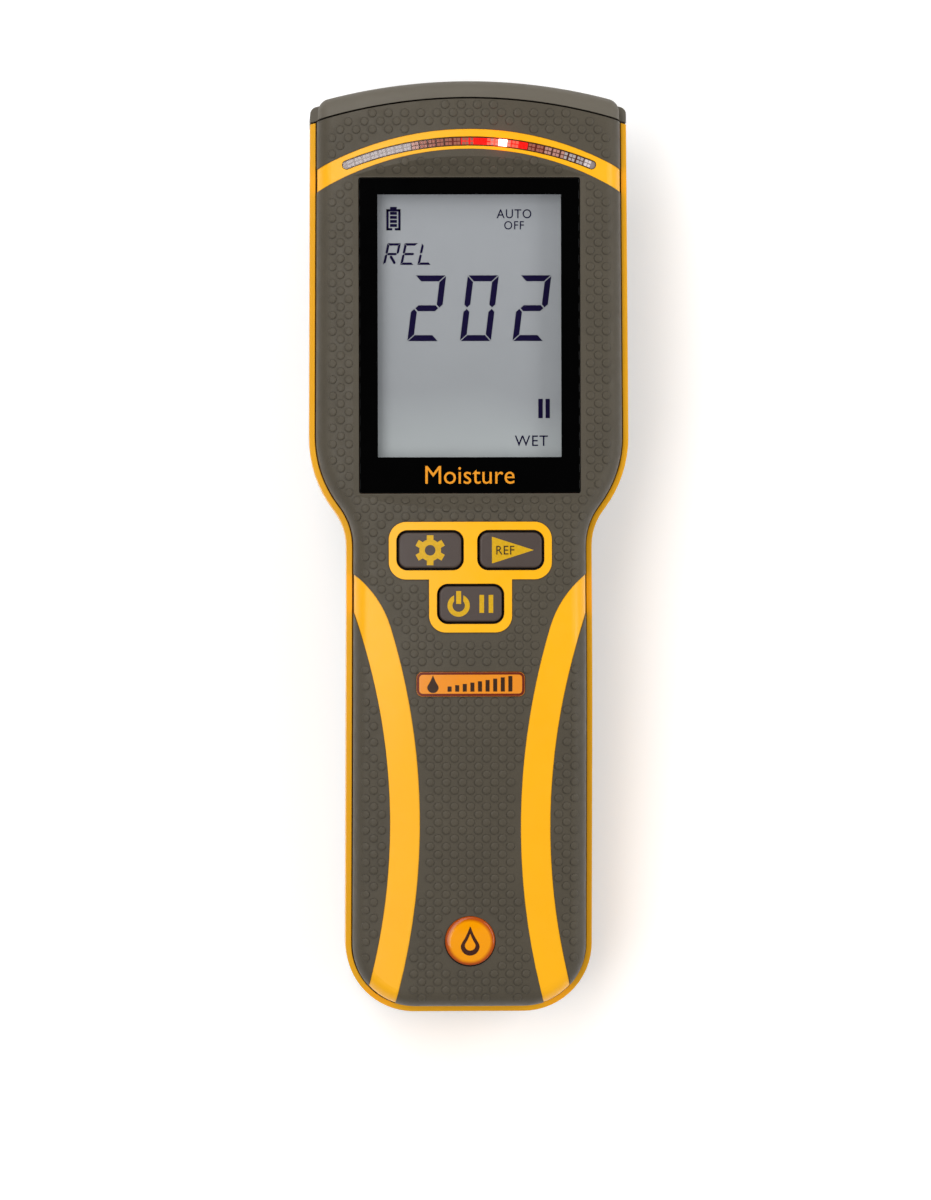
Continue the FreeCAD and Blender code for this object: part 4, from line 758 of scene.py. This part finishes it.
def make_lcd_marks():
    """What the display shows: the reading, its modes and the battery level."""
    c = middle("lcd_glass")
    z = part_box("lcd_glass")[1].z + MARK_LIFT
    navy = ink("lcd_segments", lin(24, 18, 52), 0.12)
    make_reading(c, z, navy)
    make_modes(c, z, navy)
    make_battery_level(c, z, navy)


def make_reading(c, z, navy):
    bm = bmesh.new()
    for i, digit in enumerate("202"):
        at = (c.x + (-9.2 + 11.45 * i) * MM, c.y + 3.95 * MM)
        add_character(bm, digit, at, 2.72 * MM, 6.5 * MM, SEGMENT, READING_SLANT, z)
    add_piece("lcd_reading", bm, "meter", "lcd", navy, smooth=False)


def make_modes(c, z, navy):
    """Relative mode, hold, automatic off and wet."""
    bm = bmesh.new()
    for i, letter in enumerate("REL"):
        at = (c.x + (-16.75 + 3.75 * i) * MM, c.y + 15.75 * MM)
        add_character(bm, letter, at, 1.2 * MM, 2.1 * MM, 0.5 * MM, MODE_SLANT, z)
    for side in (-1, 1):
        x = c.x + (16.3 + 0.78 * side) * MM
        add_prism(bm, bar((x, c.y - 20.0 * MM), (x, c.y - 15.8 * MM), 0.95 * MM, 0, False), z)
    merge(bm, text_mesh("AUTO", 1.95 * MM, (c.x + 9.85 * MM, c.y + 24.5 * MM), z, 1.1, 0.92))
    merge(bm, text_mesh("OFF", 1.8 * MM, (c.x + 9.85 * MM, c.y + 22.0 * MM), z, 1.1, 0.92))
    merge(bm, text_mesh("WET", 2.3 * MM, (c.x + 13.5 * MM, c.y - 24.9 * MM), z, 1.1, 0.97))
    add_piece("lcd_modes", bm, "meter", "lcd", navy, smooth=False)


CELL_OUTLINE = [              # the battery's lines, in its half sizes; its foot has a gap
    ((-1, -1), (-1, 1)), ((1, -1), (1, 1)), ((-1, -1), (-0.4, -1)), ((0.4, -1), (1, -1)), ((-1, 1), (1, 1)),
]


def make_battery_level(c, z, navy):
    """A battery in outline, with its cap and four bars."""
    bm = bmesh.new()
    x, y = c.x - 16.4 * MM, c.y + 23.2 * MM
    half_w, half_h, line = 1.3 * MM, 2.05 * MM, 0.5 * MM
    for a, b in CELL_OUTLINE:
        ends = [(x + p[0] * half_w, y + p[1] * half_h) for p in (a, b)]
        add_prism(bm, bar(*ends, line, -line / 2, False), z)
    cap_y = y + half_h + 0.45 * MM
    add_prism(bm, bar((x - 0.72 * MM, cap_y), (x + 0.72 * MM, cap_y), 0.6 * MM, 0, False), z)
    for i in range(4):
        level = y + (-1.4 + i) * 0.88 * MM
        add_prism(bm, bar((x - 0.75 * MM, level), (x + 0.75 * MM, level), 0.64 * MM, 0, False), z)
    add_piece("lcd_battery_level", bm, "meter", "lcd", navy, smooth=False)


def make_window_word():
    """A plain word printed in orange on the window's lower border."""
    lo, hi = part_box("display_window")
    centre = (lo.x + hi.x) / 2, (lo.y + lcd_view()[0][1]) / 2 + 0.1 * MM
    bm = text_mesh("Moisture", 3.9 * MM, centre, hi.z - MARK_T / 2, 1.02, 0.95)
    orange = ink("window_ink", lin(228, 146, 28), 0.3)
    add_piece("window_word", bm, "meter", "window_glass", orange, smooth=False)


# ---- light bar ----

LAMPS = 30
BAR_R = 73.0 * MM
BAR_HALF_X = 26.6 * MM
HOT_X = 6.95 * MM             # where the reading lights the bar
LAMP_POWER = 0.00028
CELL_SINK = 0.30 * MM
CELL_T = 0.25 * MM
CELL_HALF_W = 0.90 * MM
ROW_OFFSET = 0.43 * MM        # of each row of reflectors from the bar's middle line
EDGE_IN, EDGE_OUT = 0.16 * MM, 0.01 * MM   # the dark line's width inside and outside the cells' edge
EDGE_STEPS = 60
BAR_INSET = 0.95 * MM         # from the lens's far edge to the bar's middle line
ZONES = [                     # from a place on the bar: the colour between reflectors, then theirs
    (-30.0, "grey", "pale"), (-12.6, "brown", "blush"), (-10.8, "brown", "rose"),
    (-4.6, "maroon", "rose"), (-1.4, "red", "rose"), (1.0, "red", "red"), (3.2, "red", "coral"),
    (4.9, "coral", "blush"), (5.9, "hot", "hot"), (7.8, "coral", "blush"), (8.9, "red", "coral"),
    (10.6, "red", "red"), (12.6, "maroon", "rose"), (16.0, "brown", "blush"),
    (20.5, "brown", "pale"), (24.5, "grey", "white"),
]


def bar_inks():
    return {
        "grey": ink("bar_grey", lin(146, 138, 138), 0.3),
        "pale": ink("bar_pale", lin(178, 172, 174), 0.3),
        "brown": ink("bar_brown", lin(74, 36, 24), 0.3),
        "rose": ink("bar_rose", lin(164, 100, 82), 0.3),
        "maroon": ink("bar_maroon", lin(104, 28, 14), 0.3),
        "red": ink("bar_red", lin(225, 14, 6), 0.3, 0.55),
        "coral": ink("bar_coral", lin(238, 96, 78), 0.3, 0.4),
        "hot": ink("bar_hot", lin(255, 225, 215), 0.3, 4.0),
        "blush": ink("bar_blush", lin(190, 142, 130), 0.3),
        "white": ink("bar_white", lin(222, 216, 218), 0.3),
        "edge": ink("bar_edge", lin(70, 40, 16), 0.35),
    }


def bar_point(surface, turn, r, sink):
    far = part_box("light_bar_lens")[1].y
    x, y = r * math.sin(turn), far - BAR_INSET - BAR_R + r * math.cos(turn)
    point, _ = drop(surface, x, y)
    return Vector((x, y, point.z - sink))


def add_cell(bm, surface, ring, sink, look):
    """A shallow block under the lens, over an outline given as turns and radii."""
    high = [bm.verts.new(bar_point(surface, turn, r, sink)) for turn, r in ring]
    low = [bm.verts.new(v.co - Vector((0, 0, CELL_T))) for v in high]
    faces = [bm.faces.new(high), bm.faces.new(low[::-1])]
    for i in range(len(ring)):
        j = (i + 1) % len(ring)
        faces.append(bm.faces.new((low[i], low[j], high[j], high[i])))
    for face in faces:
        face.material_index = look


def zone_at(x):
    return [zone for zone in ZONES if zone[0] * MM <= x][-1]


def make_light_cells():
    """Two rows of small reflectors over each lamp: pale where unlit, red and white at the reading."""
    surface = surface_of("light_bar_lens")
    inks = bar_inks()
    order = list(inks)
    draw = random.Random(7)
    bm = bmesh.new()
    half_w = CELL_HALF_W
    span = math.asin(BAR_HALF_X / BAR_R)
    step = span / LAMPS
    for i in range(2 * LAMPS):
        a = -span + i * step
        b = a + step
        zone = zone_at(BAR_R * math.sin((a + b) / 2))
        base, square = [order.index(name) for name in zone[1:]]
        low, high = BAR_R - half_w, BAR_R + half_w
        ring = [(a, low), (b, low), (b, high), (a, high)]
        if i == 0:
            ring += rounded_end(a, half_w, 1)
        if i == 2 * LAMPS - 1:
            ring[2:2] = rounded_end(b, half_w, -1)
        add_cell(bm, surface, ring, CELL_SINK + 0.05 * MM, base)
        turn = a + step * (0.58 - 0.16 * (i % 2))
        for r in (BAR_R - ROW_OFFSET, BAR_R + ROW_OFFSET):
            w = step * (0.33 + 0.05 * draw.random())
            h = (0.29 + 0.06 * draw.random()) * MM
            ring = [(turn - w, r - h), (turn + w, r - h), (turn + w, r + h), (turn - w, r + h)]
            add_cell(bm, surface, ring, CELL_SINK, square)
    add_outline(bm, surface, span, order.index("edge"))
    add_piece("light_bar_cells", bm, "meter", "lamp", *inks.values(), smooth=False)


def add_outline(bm, surface, span, look):
    """A dark line along both long sides of the bar, over the cells' edges."""
    for side in (-1, 1):
        edges = [BAR_R + side * (CELL_HALF_W - EDGE_IN), BAR_R + side * (CELL_HALF_W + EDGE_OUT)]
        near, far = sorted(edges)
        for i in range(EDGE_STEPS):
            a = span * (2 * i / EDGE_STEPS - 1)
            b = span * (2 * (i + 1) / EDGE_STEPS - 1)
            ring = [(a, near), (b, near), (b, far), (a, far)]
            add_cell(bm, surface, ring, CELL_SINK - 0.06 * MM, look)


def rounded_end(turn, half_w, side):
    """Points round an end of the bar, in the order that continues the block's outline."""
    points = []
    for k in range(1, 6):
        a = math.pi / 6 * k
        points.append((turn - side * half_w * math.sin(a) / BAR_R, BAR_R + side * half_w * math.cos(a)))
    return points


def make_lamp_glow():
    """The lit lamp reddens what is round it."""
    surface = surface_of("light_bar_lens")
    data = bpy.data.lights.new("lamp_glow", "POINT")
    data.energy = LAMP_POWER
    data.color = (1, 0.05, 0.02)
    data.shadow_soft_size = 0.6 * MM
    glow = bpy.data.objects.new("lamp_glow", data)
    glow.location = bar_point(surface, HOT_X / BAR_R, BAR_R, -1.6 * MM)
    scene.collection.objects.link(glow)


# ---- printed marks that follow a surface ----

INK_T = 0.04 * MM
INK_LIFT = 0.015 * MM


def lay_on(bm, surface, lift, up=1):
    """Moves a flat mesh drawn at z 0 onto a surface, keeping its own thickness."""
    for v in bm.verts:
        point, _ = drop(surface, v.co.x, v.co.y, up)
        v.co.z = point.z + up * (v.co.z + lift)


def droplet(x, y, size, sides=28):
    """Outline of a water drop, point up, of this height."""
    r = size * 0.32
    points = []
    for i in range(sides):
        a = math.tau * i / sides
        stretch = max(0.0, math.sin(a)) ** 3 * size * 0.36
        narrow = 1 - 0.75 * max(0.0, math.sin(a)) ** 2
        points.append((x + r * math.cos(a) * narrow, y - size * 0.18 + r * math.sin(a) + stretch))
    return points


def make_plate_marks():
    """A drop and a row of rising level bars in dark ink on the nameplate, inside a dark rim."""
    dark = ink("plate_ink", lin(52, 30, 14), 0.35)
    c = middle("nameplate")
    bm = bmesh.new()
    add_prism(bm, droplet(c.x - 8.2 * MM, c.y, 3.8 * MM), 0, INK_T)
    for i in range(9):
        x = c.x + (-4.6 + 1.65 * i) * MM
        h = (1.1 + 0.28 * i) * MM
        foot = c.y - 1.6 * MM
        add_prism(bm, bar((x, foot), (x, foot + h), 0.85 * MM, 0, False), 0, INK_T)
    lay_on(bm, surface_of("nameplate"), INK_LIFT)
    add_piece("nameplate_marks", bm, "meter", "badge_orange", dark, smooth=False)
    rim = plate_rim("nameplate", 10.42 * MM, 1.32 * MM, 1.26 * MM, 0.5 * MM)
    lay_on(rim, surface_of("nameplate"), INK_LIFT)
    red = ink("plate_rim", lin(104, 30, 8), 0.35)
    add_piece("nameplate_rim", rim, "meter", "badge_orange", red, smooth=False)


def make_label_marks():
    """A border, a drop and plain rules in grey on the rear label."""
    lo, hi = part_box("rear_label")
    c = (lo + hi) / 2
    bm = bmesh.new()
    half_w, half_h, line = (hi.x - lo.x) / 2 - 1.4 * MM, (hi.y - lo.y) / 2 - 1.4 * MM, 0.3 * MM
    for side in (-1, 1):
        x, y = c.x + side * half_w, c.y + side * half_h
        add_prism(bm, bar((x, c.y - half_h), (x, c.y + half_h), line, -line / 2, False), 0, INK_T)
        add_prism(bm, bar((c.x - half_w, y), (c.x + half_w, y), line, -line / 2, False), 0, INK_T)
    add_prism(bm, droplet(c.x + half_w - 5.0 * MM, c.y, 8.0 * MM), 0, INK_T)
    for i in range(5):
        y = c.y + (2 - i) * 3.2 * MM
        end = c.x + (4.0 - 2.5 * (i % 2)) * MM
        add_prism(bm, bar((c.x - half_w + 2.5 * MM, y), (end, y), 0.5 * MM, 0, False), 0, INK_T)
    lay_on(bm, surface_of("rear_label"), INK_LIFT, -1)
    grey = ink("label_ink", lin(70, 70, 68), 0.4)
    add_piece("rear_label_marks", bm, "meter", "label_film", grey, smooth=False)


def make_badge_drop(badge):
    """A drop in outline, printed on the badge."""
    c = middle("round_badge")
    bm = bmesh.new()
    outer = droplet(c.x, c.y + 0.1 * MM, 6.4 * MM)
    inner = droplet(c.x, c.y - 0.15 * MM, 3.7 * MM)
    add_band(bm, inner, outer, INK_T)
    mesh = badge.data
    dome = BVHTree.FromPolygons([v.co for v in mesh.vertices], [p.vertices for p in mesh.polygons])
    lay_on(bm, dome, INK_LIFT)
    brown = ink("badge_ink", lin(60, 26, 12), 0.3)
    add_piece("badge_drop", bm, "meter", "badge_orange", brown, smooth=False)


def add_band(bm, inner, outer, thickness):
    """Flat band between two outlines of as many points."""
    n = len(inner)
    rings = [[bm.verts.new((x, y, z)) for x, y in line] for z in (0, thickness) for line in (inner, outer)]
    low_in, low_out, high_in, high_out = rings
    for i in range(n):
        j = (i + 1) % n
        bm.faces.new((high_in[i], high_in[j], high_out[j], high_out[i]))
        bm.faces.new((low_in[j], low_in[i], low_out[i], low_out[j]))
        bm.faces.new((low_out[i], low_out[j], high_out[j], high_out[i]))
        bm.faces.new((low_in[j], low_in[i], high_in[i], high_in[j]))


def plate_rim(node, half_w, half_h, r, width):
    """A thin line round a plate, just inside its edge."""
    c = middle(node)
    lines = []
    for inset in (width, 0.0):
        line = []
        for sx, sy, start in [(1, 1, 0), (-1, 1, 90), (-1, -1, 180), (1, -1, 270)]:
            for k in range(5):
                a = math.radians(start + 22.5 * k)
                reach = r - inset
                corner_x, corner_y = c.x + sx * half_w, c.y + sy * half_h
                line.append((corner_x + reach * math.cos(a), corner_y + reach * math.sin(a)))
            if sy * sx > 0:
                edge = line[-1][1]
                line += [(c.x + sx * half_w * (1 - t / 8), edge) for t in range(1, 16)]
        lines.append(line)
    bm = bmesh.new()
    add_band(bm, lines[0], lines[1], INK_T)
    return bm


BADGE_PROFILE = [             # radius and height over the skin, in millimetres, from the rim to the middle
    (5.46, -0.45), (5.46, 0.02), (5.40, 0.22), (5.26, 0.40), (5.04, 0.53),
    (4.70, 0.61), (4.1, 0.68), (3.3, 0.76), (2.4, 0.82), (1.3, 0.86),
]
BADGE_SIDES = 96


def badge_material():
    """Cast resin: bright orange that deepens to red at the rim."""
    deep, bright = lin(176, 74, 6), lin(241, 152, 2)
    paint = Paint("badge_resin", bright, 0.14, specular_ior_level=0.15, coat_weight=0.4, coat_roughness=0.03)
    offset = paint.node("ShaderNodeVectorMath", operation="SUBTRACT")
    offset.inputs[1].default_value = middle("round_badge")
    paint.join(paint.place, offset.inputs[0])
    flat = paint.node("ShaderNodeVectorMath", operation="MULTIPLY")
    flat.inputs[1].default_value = (1, 1, 0)
    paint.join(offset.outputs[0], flat.inputs[0])
    length = paint.node("ShaderNodeVectorMath", operation="LENGTH")
    paint.join(flat.outputs[0], length.inputs[0])
    reach = paint.math("DIVIDE", length.outputs["Value"], 5.5 * MM)
    wander = paint.math("MULTIPLY", paint.noise(3 * MM, 2.0), 0.06)
    place = paint.math("ADD", reach, wander)
    paint.colour_from(paint.ramp(place, [(0.0, bright), (0.80, bright), (0.93, deep), (1.0, deep)]))
    paint.rough(0.1, 0.16, 2 * MM)
    return paint.material


def make_badge():
    """Domed badge with a rolled rim, square to the skin under it."""
    c = middle("round_badge")
    skin, normal = drop(surface_of("round_badge"), c.x, c.y)
    turn = normal.to_track_quat("Z", "Y").to_matrix()
    foot = skin - normal * 0.9 * MM
    bm = bmesh.new()
    rings = []
    for radius, rise in BADGE_PROFILE:
        ring = []
        for i in range(BADGE_SIDES):
            a = math.tau * i / BADGE_SIDES
            local = Vector((radius * math.cos(a), radius * math.sin(a), rise)) * MM
            ring.append(bm.verts.new(foot + turn @ local))
        rings.append(ring)
    skin_rings(bm, rings)
    tip = bm.verts.new(foot + turn @ Vector((0, 0, 0.88 * MM)))
    for i in range(BADGE_SIDES):
        bm.faces.new((rings[-1][i], rings[-1][(i + 1) % BADGE_SIDES], tip))
    bm.faces.new(rings[0][::-1])
    badge = add_piece("badge_dome", bm, "meter", "badge_orange", badge_material())
    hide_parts("round_badge")
    return badge


def make_key_word():
    """Small dark lettering on the reference key's triangle."""
    c = middle("reference_key_mark")
    bm = text_mesh("REF", 1.9 * MM, (c.x - 1.65 * MM, c.y), 0, 1.08, 0.92)
    lay_on(bm, surface_of("reference_key", "reference_key_mark"), 0.01 * MM)
    brown = ink("key_ink", lin(58, 45, 20), 0.4)
    add_piece("reference_key_word", bm, "reference_key", "key_mark", brown, smooth=False)


make_camera()
make_lights()
make_floor()
materials = make_materials()
dress_nodes(materials)
make_dots("front_grip_dots", FRONT_SKINS, FRONT_OTHERS, 1, 0.0, materials)
make_dots("rear_grip_dots", ["rear_grip_skin"], REAR_OTHERS, -1, REAR_DOTS_LOW, materials)
make_lcd_marks()
make_window_word()
make_light_cells()
make_lamp_glow()
make_plate_marks()
make_label_marks()
make_badge_drop(make_badge())
make_key_word()

scene.view_settings.view_transform = "Standard"
